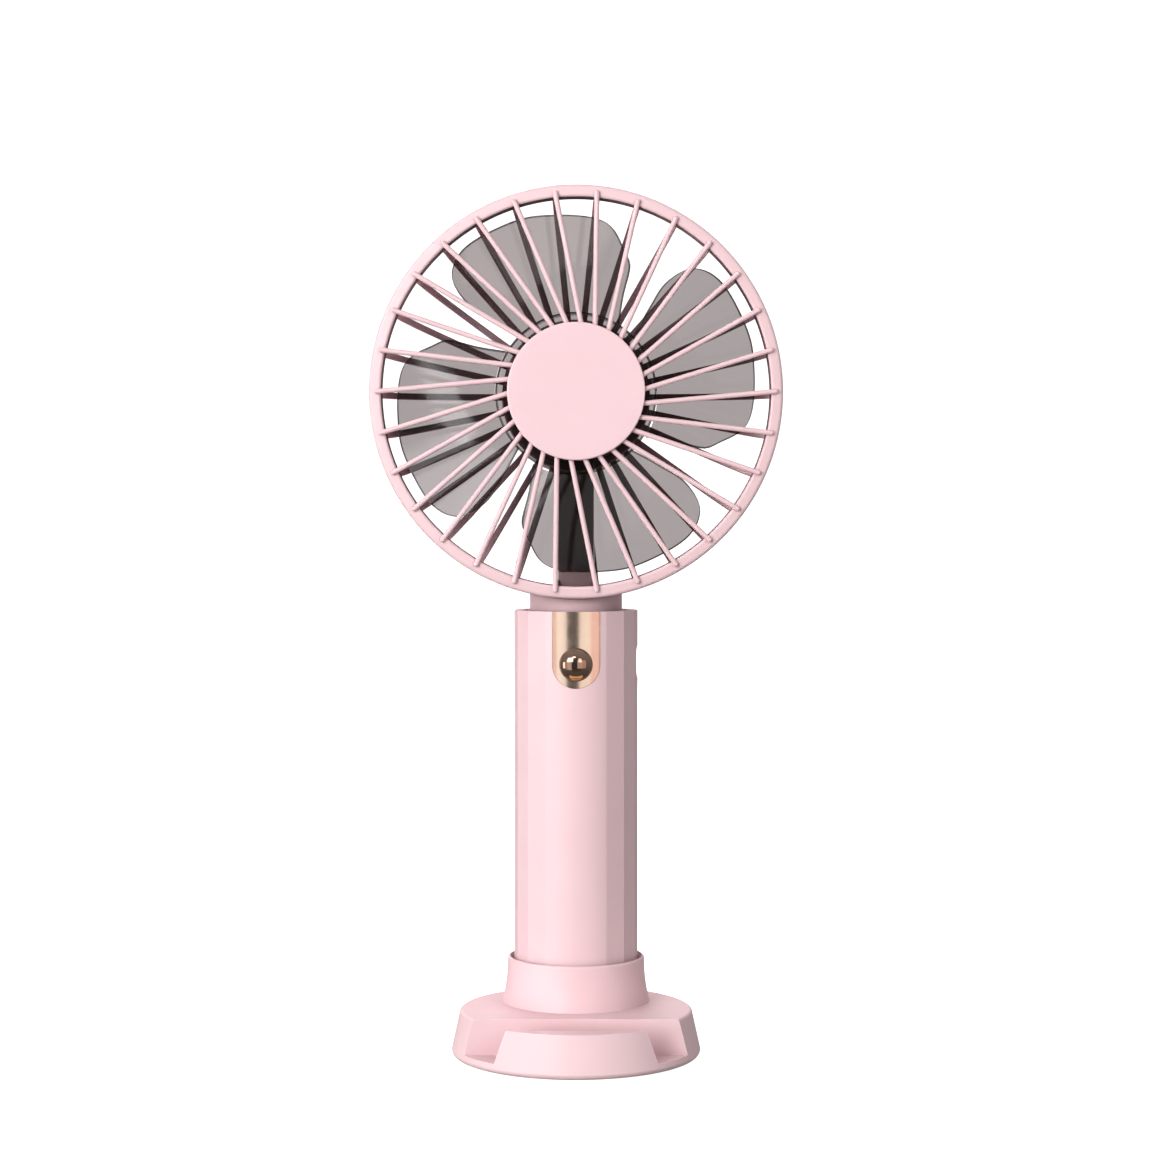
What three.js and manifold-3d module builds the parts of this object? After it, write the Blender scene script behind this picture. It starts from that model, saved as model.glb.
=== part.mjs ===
// Handheld electric fan standing in a round phone stand.
// Millimetres, +Z up, the grille faces -Y. The origin is the centre of the stand's underside.
import * as THREE from "three";
import { mergeVertices } from "three/addons/utils/BufferGeometryUtils.js";
import Module from "manifold-3d";

const wasm = await Module();
wasm.setup();

// ---------------------------------------------------------------- driving dimensions

// Stand: a round plate with a phone slot across its front and a socket for the handle near its back.
const PLATE_TOP = 9.8;
const PLATE_FOOT_RADIUS = 26.5;
const PLATE_TOP_RADIUS = 24.8;
const PLATE_FOOT_ROUND = 1.2;
const PLATE_TOP_ROUND = 0.7;
const PLATE_BOTTOM = 0.2;
const SLOT_BACK_Y = -12.2;
const SLOT_WIDTH = 8;
const SLOT_FLOOR = 2.3;
const LIP_TOP = 9.1;
const LIP_HALF_TOP = 14.9;
const LIP_HALF_FOOT = 17.2;
const COLLAR_TOP = 19.5;
const COLLAR_RADIUS = 14.8;
const COLLAR_FOOT_RADIUS = 16.3;
const SOCKET_FLOOR = 3.2;
const PAD_RADIUS = 23.6;
const PAD_THICKNESS = 1;

// Handle: a smooth front face between flat facets, split into a front and a rear shell.
const HANDLE_Y = 9.3;
const HANDLE_RADIUS = 13.4;
const HANDLE_BORE = 11.4;
const HANDLE_BOTTOM = 3.5;
const HANDLE_TOP = 94.4;
const END_CAP_FLANGE = 1.7;
const END_CAP_HEIGHT = 2.9;
const FRONT_ARC = 30;
const FACET = 20;
const SEAM_GAP = 0.2;

// Controls, all centred on one height.
const BUTTON_Z = 83.2;
const BUTTON_RADIUS = 3.45;
const TRIM_HALF_WIDTH = 5.05;
const TRIM_FACE_RADIUS = 13.5;
const TRIM_THICKNESS = 0.6;
const PORT_HEIGHT = 6.8;
const PORT_DEPTH = 3.7;
const BOARD_FRONT_Y = -2.7;
const BOARD_BACK_Y = -1.5;
const BOARD_HALF = 9;
const BOARD_BOTTOM = 77.9;
const BOARD_TOP = 88.1;
const SWITCH_DEPTH = 3.5;
const SWITCH_STROKE = 0.6;
const BUTTON_RISE = 1.8;
const PLUNGER_RADIUS = 1.7;

// Cell: a standard 18650.
const CELL_RADIUS = 9.2;
const CELL_LENGTH = 65;
const CELL_BOTTOM = 11.6;
const LEAD_RADIUS = 0.55;
const TAB_THICKNESS = 0.2;

// Head: the fan axis runs along Y.
const HEAD_Z = 141.1;
const RING_RADIUS = 44;
const RING_INNER_RADIUS = 41.3;
const RING_FRONT_Y = -13;
const RING_SPLIT_Y = -8.6;
const RING_BACK_Y = -3;
const RIB_COUNT = 30;
const RIB_PITCH = 360 / RIB_COUNT;
const FIRST_RIB = RIB_PITCH / 2;
const RIB_SWEEP = 11;
const RIB_ROD_RADIUS = 0.55;
const RIB_TIP_RADIUS = 42.3;
const REAR_RIB_WIDTH = 1.4;
const HUB_RADIUS = 14.6;
const HUB_FRONT_Y = -15.1;
const HUB_CAP_THICKNESS = 0.5;

// Motor pod, column and neck.
const POD_RADIUS = 14.5;
const POD_BORE = 12.6;
const POD_FRONT_Y = -4.5;
const POD_BACK_Y = 12;
const HOOP_RADIUS = 16.4;
const HOOP_DEPTH = 2.4;
const COLUMN_HALF = 3.5;
const COLUMN_FRONT_Y = 2.6;
const COLUMN_BACK_Y = 12;
const COLUMN_WALL = 0.9;
const COLUMN_FOOT = SEAM_GAP - RING_RADIUS;
const TONGUE_HALF = 2.9;
const TONGUE_BACK_Y = 8.4;
const TONGUE_BOTTOM = 88.9;
const NECK_RADIUS = 10;
const NECK_PLUG_RADIUS = 11.2;
const NECK_BOTTOM = 88.5;
const NECK_OVERLAP = 3;

// Motor: a flat round can, 24.4 mm across and 12.3 mm long, on a 2 mm shaft.
const MOTOR_RADIUS = 12.2;
const MOTOR_FRONT_Y = -2.6;
const MOTOR_LENGTH = 12.3;
const MOTOR_WALL = 0.7;
const SHAFT_RADIUS = 1;
const SHAFT_BORE = 1.08;
const MOTOR_SCREW_X = 8.5;
const BUSH_RADIUS = 3;
const REAR_BUSH_RADIUS = 2;
const MAGNET_BACK_Y = 7;
const CORE_FRONT_Y = 0.2;
const CORE_BACK_Y = 5.8;
const COMMUTATOR_RADIUS = 2.2;
const POLE_HALF = 1.5;
const POLES = [0, 120, 240];

// Screws: one pan-head size throughout, the handle's two driven in from the back.
const SCREW_RADIUS = 0.9;
const SCREW_HEAD_RADIUS = 1.7;
const SCREW_HEAD_HEIGHT = 1;
const SCREW_BOSS_RADIUS = 1.9;
const SCREW_SEAT_Y = 12;
const TOP_SCREW_Z = 91.4;
const BOTTOM_SCREW_Z = 8.7;
const BOTTOM_SCREW_REACH = 4;

// Impeller.
const BLADE_COUNT = 4;
const BLADE_THICKNESS = 0.9;
const IMPELLER_HUB_RADIUS = 17.3;
const IMPELLER_WALL = 1.6;
const IMPELLER_FRONT_Y = -9.2;
const IMPELLER_BACK_Y = 0.6;

// ---------------------------------------------------------------- shared helpers

// Segments round a circle, from the largest pieces to the smallest.
const RING = 60;
const ROUND = 40;
const FINE = 20;
const SMALL = 12;

// The slack round a piece in its seat, the gap under one resting on a face, and a length past every piece.
const FIT = 0.15;
const REST = 0.1;
const BEYOND = 60;

// A closed geometry as a solid; a profile that ran the other way is turned to face out.
function solid(geometry) {
  const bare = geometry.clone();
  bare.deleteAttribute("normal");
  bare.deleteAttribute("uv");
  const merged = mergeVertices(bare);
  const triVerts = new Uint32Array(merged.index.array);
  const vertProperties = merged.attributes.position.array;
  const made = new wasm.Manifold(new wasm.Mesh({ numProp: 3, vertProperties, triVerts }));
  if (made.volume() > 0) return made;
  for (let i = 0; i < triVerts.length; i += 3) {
    [triVerts[i], triVerts[i + 1]] = [triVerts[i + 1], triVerts[i]];
  }
  return new wasm.Manifold(new wasm.Mesh({ numProp: 3, vertProperties, triVerts }));
}

function geometryOf(made) {
  const mesh = made.getMesh();
  const geometry = new THREE.BufferGeometry();
  geometry.setAttribute("position", new THREE.BufferAttribute(mesh.vertProperties, mesh.numProp));
  geometry.setIndex(new THREE.BufferAttribute(mesh.triVerts, 1));
  const faceted = geometry.toNonIndexed();
  faceted.computeVertexNormals();
  return faceted;
}

const joined = (first, ...others) => others.reduce((whole, next) => whole.add(next), first);
const cut = (first, ...others) => others.reduce((whole, next) => whole.subtract(next), first);

// Points of an arc in a profile, angles in degrees.
function arc(x, y, radius, from, to, steps) {
  return Array.from({ length: steps + 1 }, (_, i) => {
    const angle = THREE.MathUtils.degToRad(from + ((to - from) * i) / steps);
    return [x + radius * Math.cos(angle), y + radius * Math.sin(angle)];
  });
}

// Turned about +Y from [radius, y] pairs.
function turnedY(profile, segments = ROUND) {
  return solid(new THREE.LatheGeometry(profile.map(([r, y]) => new THREE.Vector2(r, y)), segments));
}

// Turned about +Z from [radius, z] pairs, about a line at y.
function turnedZ(profile, segments = ROUND, y = 0) {
  const points = profile.map(([radius, z]) => new THREE.Vector2(radius, z));
  return solid(new THREE.LatheGeometry(points, segments).rotateX(Math.PI / 2).translate(0, y, 0));
}

const drumY = (radius, from, to, segments = ROUND) =>
  turnedY([[0, from], [radius, from], [radius, to], [0, to]], segments);

const drumZ = (radius, from, to, segments = ROUND, y = 0) =>
  turnedZ([[0, from], [radius, from], [radius, to], [0, to]], segments, y);

// A closed ring about +Y between two radii.
const hoopY = (inner, outer, from, to, segments = ROUND) =>
  turnedY([[inner, from], [outer, from], [outer, to], [inner, to], [inner, from]], segments);

// A round bar along Y at a place off the axis.
function pinY(radius, from, to, x, z, segments = SMALL) {
  const bar = new THREE.CylinderGeometry(radius, radius, to - from, segments);
  return solid(bar.translate(x, (from + to) / 2, z));
}

// A box between two corners.
function block([x0, y0, z0], [x1, y1, z1]) {
  const box = new THREE.BoxGeometry(x1 - x0, y1 - y0, z1 - z0);
  return solid(box.translate((x0 + x1) / 2, (y0 + y1) / 2, (z0 + z1) / 2));
}

// An outline in the X-Y plane raised from one height to another.
function raised(shape, from, to, curveSegments = 12) {
  const settings = { depth: to - from, bevelEnabled: false, curveSegments };
  return solid(new THREE.ExtrudeGeometry(shape, settings).translate(0, 0, from));
}

// An outline in the X-Z plane run along Y.
function runAlongY(shape, from, to, curveSegments = 12) {
  const settings = { depth: to - from, bevelEnabled: false, curveSegments };
  return solid(new THREE.ExtrudeGeometry(shape, settings).rotateX(Math.PI / 2).translate(0, to, 0));
}

// A round wire or rod along a smooth line of points.
function wire(points, radius, sides = 8, steps = 24) {
  const section = new THREE.Shape();
  section.absarc(0, 0, radius, 0, 2 * Math.PI, false);
  const route = new THREE.CatmullRomCurve3(points.map((p) => new THREE.Vector3(...p)));
  const settings = { steps, extrudePath: route, curveSegments: sides / 2, bevelEnabled: false };
  return solid(new THREE.ExtrudeGeometry(section, settings));
}

// A point on the head, from its angle clockwise from the top as seen from the front.
function onHead(degrees, radius, y) {
  const angle = THREE.MathUtils.degToRad(degrees);
  return [radius * Math.sin(angle), y, radius * Math.cos(angle)];
}

// Turned about the fan axis, clockwise as seen from the front.
const spun = (made, degrees) => made.rotate([0, degrees, 0]);

// ---------------------------------------------------------------- stand

// The stand's plate is a low cone with rounded edges.
function standPlate() {
  const footCentre = PLATE_FOOT_RADIUS - PLATE_FOOT_ROUND;
  const topCentre = PLATE_TOP_RADIUS - PLATE_TOP_ROUND;
  return turnedZ([
    [0, PLATE_BOTTOM],
    ...arc(footCentre, PLATE_BOTTOM + PLATE_FOOT_ROUND, PLATE_FOOT_ROUND, -90, 0, 3),
    ...arc(topCentre, PLATE_TOP - PLATE_TOP_ROUND, PLATE_TOP_ROUND, 0, 90, 2),
    [0, PLATE_TOP],
  ]);
}

// The flared wall around the handle socket.
function collar() {
  const flare = 4;
  const rim = 0.5;
  const outside = Array.from({ length: flare + 1 }, (_, i) => {
    const rise = i / flare;
    const radius = COLLAR_RADIUS + (COLLAR_FOOT_RADIUS - COLLAR_RADIUS) * (1 - rise) ** 2;
    return [radius, THREE.MathUtils.lerp(PLATE_TOP, COLLAR_TOP - 2 * rim, rise)];
  });
  return turnedZ([
    [0, SOCKET_FLOOR - 2],
    [COLLAR_FOOT_RADIUS, SOCKET_FLOOR - 2],
    ...outside,
    ...arc(COLLAR_RADIUS - rim, COLLAR_TOP - rim, rim, 0, 90, 2),
    [0, COLLAR_TOP],
  ], ROUND, HANDLE_Y);
}

// The lip in front of the slot follows the plate's edge and has sloping ends and a flat back.
function lip() {
  const ends = new THREE.Shape();
  ends.moveTo(-LIP_HALF_FOOT, SLOT_FLOOR - 1);
  ends.lineTo(LIP_HALF_FOOT, SLOT_FLOOR - 1);
  ends.lineTo(LIP_HALF_TOP, LIP_TOP);
  ends.lineTo(-LIP_HALF_TOP, LIP_TOP);
  return standPlate().intersect(runAlongY(ends, -BEYOND, SLOT_BACK_Y - SLOT_WIDTH));
}

function standBase() {
  const wall = 2;
  const slot = block([-BEYOND, -BEYOND, SLOT_FLOOR], [BEYOND, SLOT_BACK_Y, BEYOND]);
  const plate = cut(joined(standPlate(), collar()), slot);
  const socketRadius = HANDLE_RADIUS + FIT;
  const socket = drumZ(socketRadius, SOCKET_FLOOR, COLLAR_TOP + 1, ROUND, HANDLE_Y);
  const padSeat = drumZ(PAD_RADIUS + FIT, -1, PAD_THICKNESS + FIT);
  const hollowTop = PLATE_TOP - wall;
  const hollow = cut(
    drumZ(PLATE_TOP_RADIUS - wall, 0, hollowTop),
    drumZ(socketRadius + wall, -1, hollowTop + 1, ROUND, HANDLE_Y),
    block([-BEYOND, -BEYOND, -1], [BEYOND, SLOT_BACK_Y + wall, hollowTop + 1]),
  );
  return cut(joined(plate, lip()), socket, padSeat, hollow);
}

const standPad = () => drumZ(PAD_RADIUS, 0, PAD_THICKNESS);

// ---------------------------------------------------------------- handle

// A corner of the handle's section, from its angle round from the front.
function around(degrees, radius) {
  const angle = THREE.MathUtils.degToRad(degrees);
  return [radius * Math.sin(angle), -radius * Math.cos(angle)];
}

function handleSection() {
  const section = new THREE.Shape();
  const from = THREE.MathUtils.degToRad(-90 - FRONT_ARC);
  const to = THREE.MathUtils.degToRad(-90 + FRONT_ARC);
  section.absarc(0, 0, HANDLE_RADIUS, from, to, false);
  for (let turn = FRONT_ARC + FACET; turn < 360 - FRONT_ARC; turn += FACET) {
    section.lineTo(...around(turn, HANDLE_RADIUS));
  }
  return section;
}

// The trim plate's outline seen from the front: straight sides, round below the button.
function trimOutline(spare) {
  const outline = new THREE.Shape();
  const half = TRIM_HALF_WIDTH + spare;
  outline.moveTo(half, HANDLE_TOP + spare);
  outline.lineTo(-half, HANDLE_TOP + spare);
  outline.absarc(0, BUTTON_Z, half, Math.PI, 2 * Math.PI, false);
  return outline;
}

// That outline pressed against the handle's front, between two radii.
function trimBand(spare, inner, outer) {
  const tube = cut(drumZ(outer, BEYOND, 2 * BEYOND), drumZ(inner, BEYOND - 1, 2 * BEYOND + 1));
  return tube.intersect(runAlongY(trimOutline(spare), -2 * HANDLE_RADIUS, -BUTTON_RADIUS));
}

function trimPlate() {
  const buttonHole = pinY(BUTTON_RADIUS + FIT, -2 * HANDLE_RADIUS, 0, 0, BUTTON_Z, FINE);
  return cut(trimBand(0, TRIM_FACE_RADIUS - TRIM_THICKNESS, TRIM_FACE_RADIUS), buttonHole);
}

// The charging port's slot through the handle's right side, with rounded ends.
function portSlot() {
  const end = PORT_DEPTH / 2;
  const outline = new THREE.Shape();
  outline.absarc(0, PORT_HEIGHT / 2 - end, end, 0, Math.PI, false);
  outline.absarc(0, end - PORT_HEIGHT / 2, end, Math.PI, 2 * Math.PI, false);
  const run = raised(outline, HANDLE_BORE - 1, HANDLE_RADIUS + 1);
  return run.rotate([0, 90, 0]).rotate([90, 0, 0]).translate([0, 0, BUTTON_Z]);
}

// One half of the handle's tube, without its fittings.
function halfTube(front) {
  const tube = cut(
    raised(handleSection(), HANDLE_BOTTOM + END_CAP_FLANGE + FIT, HANDLE_TOP),
    drumZ(HANDLE_BORE, HANDLE_BOTTOM, HANDLE_TOP + 1),
  );
  const seam = SEAM_GAP / 2;
  const kept = front
    ? block([-BEYOND, -BEYOND, 0], [BEYOND, -seam, 2 * BEYOND])
    : block([-BEYOND, seam, 0], [BEYOND, BEYOND, 2 * BEYOND]);
  return tube.intersect(kept);
}

function handleFrontShell() {
  const boss = pinY(SCREW_BOSS_RADIUS, -HANDLE_BORE - 1, -SEAM_GAP, 0, BOTTOM_SCREW_Z);
  const trimSeat = trimBand(FIT, TRIM_FACE_RADIUS - TRIM_THICKNESS - FIT, HANDLE_RADIUS + 1);
  const buttonHole = pinY(BUTTON_RADIUS + FIT, -2 * HANDLE_RADIUS, -BUTTON_RADIUS, 0, BUTTON_Z, FINE);
  const screwHole = pinY(SCREW_RADIUS + FIT, -BOTTOM_SCREW_REACH - 1, 0, 0, BOTTOM_SCREW_Z);
  return cut(joined(halfTube(true), boss), trimSeat, buttonHole, screwHole, portSlot());
}

function handleRearShell() {
  const boss = pinY(SCREW_BOSS_RADIUS, SEAM_GAP, HANDLE_BORE + 1, 0, BOTTOM_SCREW_Z);
  const holes = [BOTTOM_SCREW_Z, TOP_SCREW_Z].flatMap((z) => [
    pinY(SCREW_RADIUS + FIT, 0, HANDLE_RADIUS, 0, z),
    pinY(SCREW_HEAD_RADIUS + FIT, SCREW_SEAT_Y, HANDLE_RADIUS + 1, 0, z),
  ]);
  return cut(joined(halfTube(false), boss), ...holes, portSlot());
}

function handleEndCap() {
  const flangeTop = HANDLE_BOTTOM + END_CAP_FLANGE;
  const plug = drumZ(HANDLE_BORE - FIT, HANDLE_BOTTOM, HANDLE_BOTTOM + END_CAP_HEIGHT);
  return joined(raised(handleSection(), HANDLE_BOTTOM, flangeTop), plug);
}

// A pan-head screw driven in from the back, its tip at y = tip.
function backScrew(tip, z) {
  const top = SCREW_SEAT_Y + FIT + SCREW_HEAD_HEIGHT;
  const head = pinY(SCREW_HEAD_RADIUS, SCREW_SEAT_Y + FIT, top, 0, z);
  const drive = pinY(SCREW_HEAD_RADIUS / 2, top - SCREW_HEAD_HEIGHT / 2, top + 1, 0, z, 6);
  return cut(joined(head, pinY(SCREW_RADIUS, tip, SCREW_SEAT_Y + 1, 0, z)), drive);
}

// ---------------------------------------------------------------- cell and electronics

const cellTop = CELL_BOTTOM + CELL_LENGTH;

function batteryCell() {
  const crimp = 0.5;
  const nub = 2.8;
  return turnedZ([
    [0, CELL_BOTTOM],
    [CELL_RADIUS - crimp, CELL_BOTTOM],
    [CELL_RADIUS, CELL_BOTTOM + crimp],
    [CELL_RADIUS, cellTop - crimp],
    [CELL_RADIUS - 2 * crimp, cellTop - crimp],
    [nub, cellTop - crimp],
    [nub, cellTop],
    [0, cellTop],
  ]);
}

// A nickel strip across one end of the cell.
function cellTab(z) {
  const [halfWidth, halfLength] = [2.5, 6];
  return block([-halfWidth, -halfLength, z], [halfWidth, halfLength, z + TAB_THICKNESS]);
}

// The red lead runs from the upper tab, the black one up beside the cell from the lower tab.
function cellLead(red) {
  const lift = LEAD_RADIUS + REST;
  const side = (CELL_RADIUS + 1) * Math.SQRT1_2;
  if (red) {
    return wire([
      [0, 4.5, cellTop + REST + TAB_THICKNESS + lift],
      [-3, 3.5, cellTop + 1.6 + lift],
      [-6.6, 1.4, BOARD_BOTTOM + 1.6],
      [-7, BOARD_BACK_Y + FIT, BOARD_BOTTOM + 2],
    ], LEAD_RADIUS, 6, 14);
  }
  return wire([
    [-2.4, 3.5, CELL_BOTTOM - 0.45 - lift],
    [-5.5, 5.5, CELL_BOTTOM - 0.9 - lift],
    [-side, side, CELL_BOTTOM - 0.6],
    [-side, side, CELL_BOTTOM + 4],
    [-side, side, cellTop - 4],
    [-side, side, cellTop + 1],
    [-7, 3, BOARD_BOTTOM + 5],
    [-7, BOARD_BACK_Y + FIT, BOARD_BOTTOM + 5.5],
  ], LEAD_RADIUS, 6, 22);
}

const switchFace = BOARD_FRONT_Y - REST - SWITCH_DEPTH;

const circuitBoard = () =>
  block([-BOARD_HALF, BOARD_FRONT_Y, BOARD_BOTTOM], [BOARD_HALF, BOARD_BACK_Y, BOARD_TOP]);

function tactSwitch() {
  const [half, well] = [3, 1.3];
  const body = block([-half, switchFace, BUTTON_Z - half], [half, BOARD_FRONT_Y - REST, BUTTON_Z + half]);
  return cut(body, pinY(PLUNGER_RADIUS + FIT, switchFace - 1, switchFace + well, 0, BUTTON_Z));
}

// The plunger stands a millimetre proud and has room below it for its stroke.
const switchPlunger = () => pinY(PLUNGER_RADIUS, switchFace - 1, switchFace + SWITCH_STROKE, 0, BUTTON_Z);

// A receptacle on the board's back, its mouth towards the slot in the handle.
function usbSocket() {
  const [half, halfHeight, length, skin, depth] = [1.4, 3.7, 5.4, 0.35, 4];
  const mouth = HANDLE_BORE - 0.3;
  const shell = block(
    [mouth - length, -half, BUTTON_Z - halfHeight],
    [mouth, half, BUTTON_Z + halfHeight],
  );
  const inside = block(
    [mouth - depth, skin - half, BUTTON_Z - halfHeight + skin],
    [mouth + 1, half - skin, BUTTON_Z + halfHeight - skin],
  );
  const tongue = block(
    [mouth - length + 1, -0.3, BUTTON_Z - halfHeight / 2],
    [mouth - 0.8, 0.3, BUTTON_Z + halfHeight / 2],
  );
  return joined(cut(shell, inside), tongue);
}

function controllerChip() {
  const y = BOARD_BACK_Y + REST;
  return block([-4.6, y, BUTTON_Z - 2.5], [-0.6, y + 1.5, BUTTON_Z + 2.5]);
}

function powerInductor() {
  const y = BOARD_BACK_Y + REST;
  return block([0.8, y, BUTTON_Z - 2], [4.8, y + 2.2, BUTTON_Z + 2]);
}

// ---------------------------------------------------------------- neck and grilles

function neck() {
  const shoulder = HANDLE_TOP - SEAM_GAP;
  const top = HEAD_Z - RING_RADIUS + NECK_OVERLAP;
  const body = turnedZ([
    [0, NECK_BOTTOM],
    [NECK_PLUG_RADIUS, NECK_BOTTOM],
    [NECK_PLUG_RADIUS, shoulder],
    [NECK_RADIUS, shoulder],
    [NECK_RADIUS, top],
    [0, top],
  ]);
  const ringSpace = drumY(RING_RADIUS + 2 * FIT, -BEYOND, BEYOND, RING).translate([0, 0, HEAD_Z]);
  const half = TONGUE_HALF + FIT;
  const slot = block(
    [-half, COLUMN_FRONT_Y - FIT, NECK_BOTTOM - 1],
    [half, TONGUE_BACK_Y + FIT, 2 * BEYOND],
  );
  return cut(body, ringSpace, slot, pinY(SCREW_RADIUS + FIT, 0, 2 * NECK_RADIUS, 0, TOP_SCREW_Z));
}

// One rib of the rear bowl, a thin curved plate from the ring back to the hoop round the pod.
function rearRib() {
  const rib = new THREE.Shape();
  rib.moveTo(43.8, RING_BACK_Y - 1);
  rib.bezierCurveTo(43.4, 7, 38.5, 10.4, POD_RADIUS + 1, POD_BACK_Y);
  rib.lineTo(POD_RADIUS + 1, POD_BACK_Y - 2);
  rib.bezierCurveTo(37, 8.2, 41.6, 5, 42.4, RING_BACK_Y - 1);
  rib.closePath();
  const settings = { depth: REAR_RIB_WIDTH, bevelEnabled: false, curveSegments: 4 };
  return solid(new THREE.ExtrudeGeometry(rib, settings).translate(0, 0, -REAR_RIB_WIDTH / 2));
}

// The pod round the motor, its column, and the tongue at the column's foot that goes into the neck.
function motorHousing() {
  const wallBack = MOTOR_FRONT_Y - SEAM_GAP;
  const ductFront = COLUMN_FRONT_Y + 2 * COLUMN_WALL;
  const lower = TONGUE_HALF - COLUMN_WALL;
  const upper = COLUMN_HALF - COLUMN_WALL;
  const bottom = TONGUE_BOTTOM - HEAD_Z;
  const pod = drumY(POD_RADIUS, POD_FRONT_Y, POD_BACK_Y);
  const front = COLUMN_FRONT_Y;
  const column = block([-COLUMN_HALF, front, COLUMN_FOOT], [COLUMN_HALF, COLUMN_BACK_Y, -POD_BORE]);
  const tongue = block([-TONGUE_HALF, front, bottom], [TONGUE_HALF, TONGUE_BACK_Y, COLUMN_FOOT + 1]);
  return cut(
    joined(pod, column, tongue),
    drumY(POD_BORE, wallBack, POD_BACK_Y + 1),
    drumY(BUSH_RADIUS + 1, POD_FRONT_Y - 1, wallBack + 1, FINE),
    ...[-1, 1].map((side) => pinY(SCREW_RADIUS + FIT, POD_FRONT_Y - 1, 0, side * MOTOR_SCREW_X, 0)),
    block([-lower, ductFront, bottom - 1], [lower, TONGUE_BACK_Y - COLUMN_WALL, COLUMN_FOOT + 2]),
    block([-upper, ductFront, COLUMN_FOOT + 1], [upper, COLUMN_BACK_Y - COLUMN_WALL, -POD_BORE + 2]),
    pinY(SCREW_RADIUS + FIT, ductFront, 2 * NECK_RADIUS, 0, TOP_SCREW_Z - HEAD_Z),
  );
}

// The bowl: a ring, its ribs and the hoop they end on, with a gap for the column.
function rearGrille() {
  const inner = RIB_TIP_RADIUS;
  const front = RING_SPLIT_Y + SEAM_GAP;
  const edge = 0.6;
  const ring = turnedY([
    [inner, front],
    [RING_RADIUS, front],
    [RING_RADIUS, RING_BACK_Y - edge],
    [RING_RADIUS - edge, RING_BACK_Y],
    [inner, RING_BACK_Y],
    [inner, front],
  ], RING);
  const hoop = hoopY(POD_RADIUS + FIT, HOOP_RADIUS, POD_BACK_Y - HOOP_DEPTH, POD_BACK_Y);
  const rib = rearRib();
  // The rib is drawn along +X, a quarter turn from the top.
  const ribs = Array.from({ length: RIB_COUNT }, (_, i) => spun(rib, FIRST_RIB - 90 + i * RIB_PITCH));
  const half = COLUMN_HALF + FIT;
  const columnSpace = block([-half, COLUMN_FRONT_Y - FIT, -RING_RADIUS - 1], [half, POD_BACK_Y + 1, 0]);
  return cut(joined(ring, hoop, ...ribs), columnSpace);
}

// A shallow lid over the motor, rounded at its rim and a little crowned.
function rearCap() {
  const [rim, round, crown] = [POD_BACK_Y + 1, 1.4, 0.5];
  return turnedY([
    [0, POD_BACK_Y + SEAM_GAP],
    [HOOP_RADIUS, POD_BACK_Y + SEAM_GAP],
    ...arc(HOOP_RADIUS - round, rim, round, 0, 90, 3),
    [0, rim + round + crown],
  ]);
}

function frontGrille() {
  const edge = 0.7;
  const ring = turnedY([
    [RING_INNER_RADIUS, RING_SPLIT_Y],
    [RING_RADIUS, RING_SPLIT_Y],
    [RING_RADIUS, RING_FRONT_Y + edge],
    [RING_RADIUS - edge, RING_FRONT_Y],
    [RING_INNER_RADIUS + edge / 2, RING_FRONT_Y],
    [RING_INNER_RADIUS, RING_FRONT_Y + edge / 2],
    [RING_INNER_RADIUS, RING_SPLIT_Y],
  ], RING);
  const hubFront = HUB_FRONT_Y + HUB_CAP_THICKNESS;
  const hub = drumY(HUB_RADIUS, hubFront, hubFront + 2);
  const ribs = Array.from({ length: RIB_COUNT }, (_, i) => {
    const angle = FIRST_RIB + i * RIB_PITCH;
    const tip = onHead(angle, RIB_TIP_RADIUS, RING_FRONT_Y);
    const root = onHead(angle + RIB_SWEEP, HUB_RADIUS - 0.8, hubFront + 0.8);
    return wire([tip, root], RIB_ROD_RADIUS, 6, 1);
  });
  return joined(ring, hub, ...ribs);
}

function hubCap() {
  const back = HUB_FRONT_Y + HUB_CAP_THICKNESS - REST;
  return turnedY([
    [0, back],
    [HUB_RADIUS, back],
    [HUB_RADIUS - 0.1, HUB_FRONT_Y + 0.1],
    [HUB_RADIUS - 0.3, HUB_FRONT_Y],
    [0, HUB_FRONT_Y],
  ]);
}

// ---------------------------------------------------------------- motor

const motorBack = MOTOR_FRONT_Y + MOTOR_LENGTH;

function motorCan() {
  return cut(
    drumY(MOTOR_RADIUS, MOTOR_FRONT_Y, motorBack),
    drumY(MOTOR_RADIUS - MOTOR_WALL, MOTOR_FRONT_Y + MOTOR_WALL, motorBack + 1),
    drumY(BUSH_RADIUS + FIT, MOTOR_FRONT_Y - 1, MOTOR_FRONT_Y + 1, SMALL),
    ...[-1, 1].map((side) => pinY(SCREW_RADIUS + FIT, -BEYOND, 0, side * MOTOR_SCREW_X, 0)),
  );
}

function motorEndCap() {
  const radius = MOTOR_RADIUS - MOTOR_WALL - FIT;
  return hoopY(REAR_BUSH_RADIUS + FIT, radius, motorBack - 1, motorBack);
}

// An arc magnet inside the can, upper (+1) or lower (-1).
function magnet(side) {
  const [inner, outer, span] = [8.9, MOTOR_RADIUS - MOTOR_WALL - FIT, 75];
  const outline = new THREE.Shape();
  const middle = side > 0 ? 90 : 270;
  const from = THREE.MathUtils.degToRad(middle - span);
  const to = THREE.MathUtils.degToRad(middle + span);
  outline.absarc(0, 0, outer, from, to, false);
  outline.absarc(0, 0, inner, to, from, true);
  return runAlongY(outline, MOTOR_FRONT_Y + MOTOR_WALL + 0.6, MAGNET_BACK_Y);
}

const frontBush = () => hoopY(SHAFT_BORE, BUSH_RADIUS, MOTOR_FRONT_Y - 1, MOTOR_FRONT_Y + 1.2, SMALL);
const rearBush = () => hoopY(SHAFT_BORE, REAR_BUSH_RADIUS, motorBack - 1.3, motorBack + 0.7, SMALL);

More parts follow.
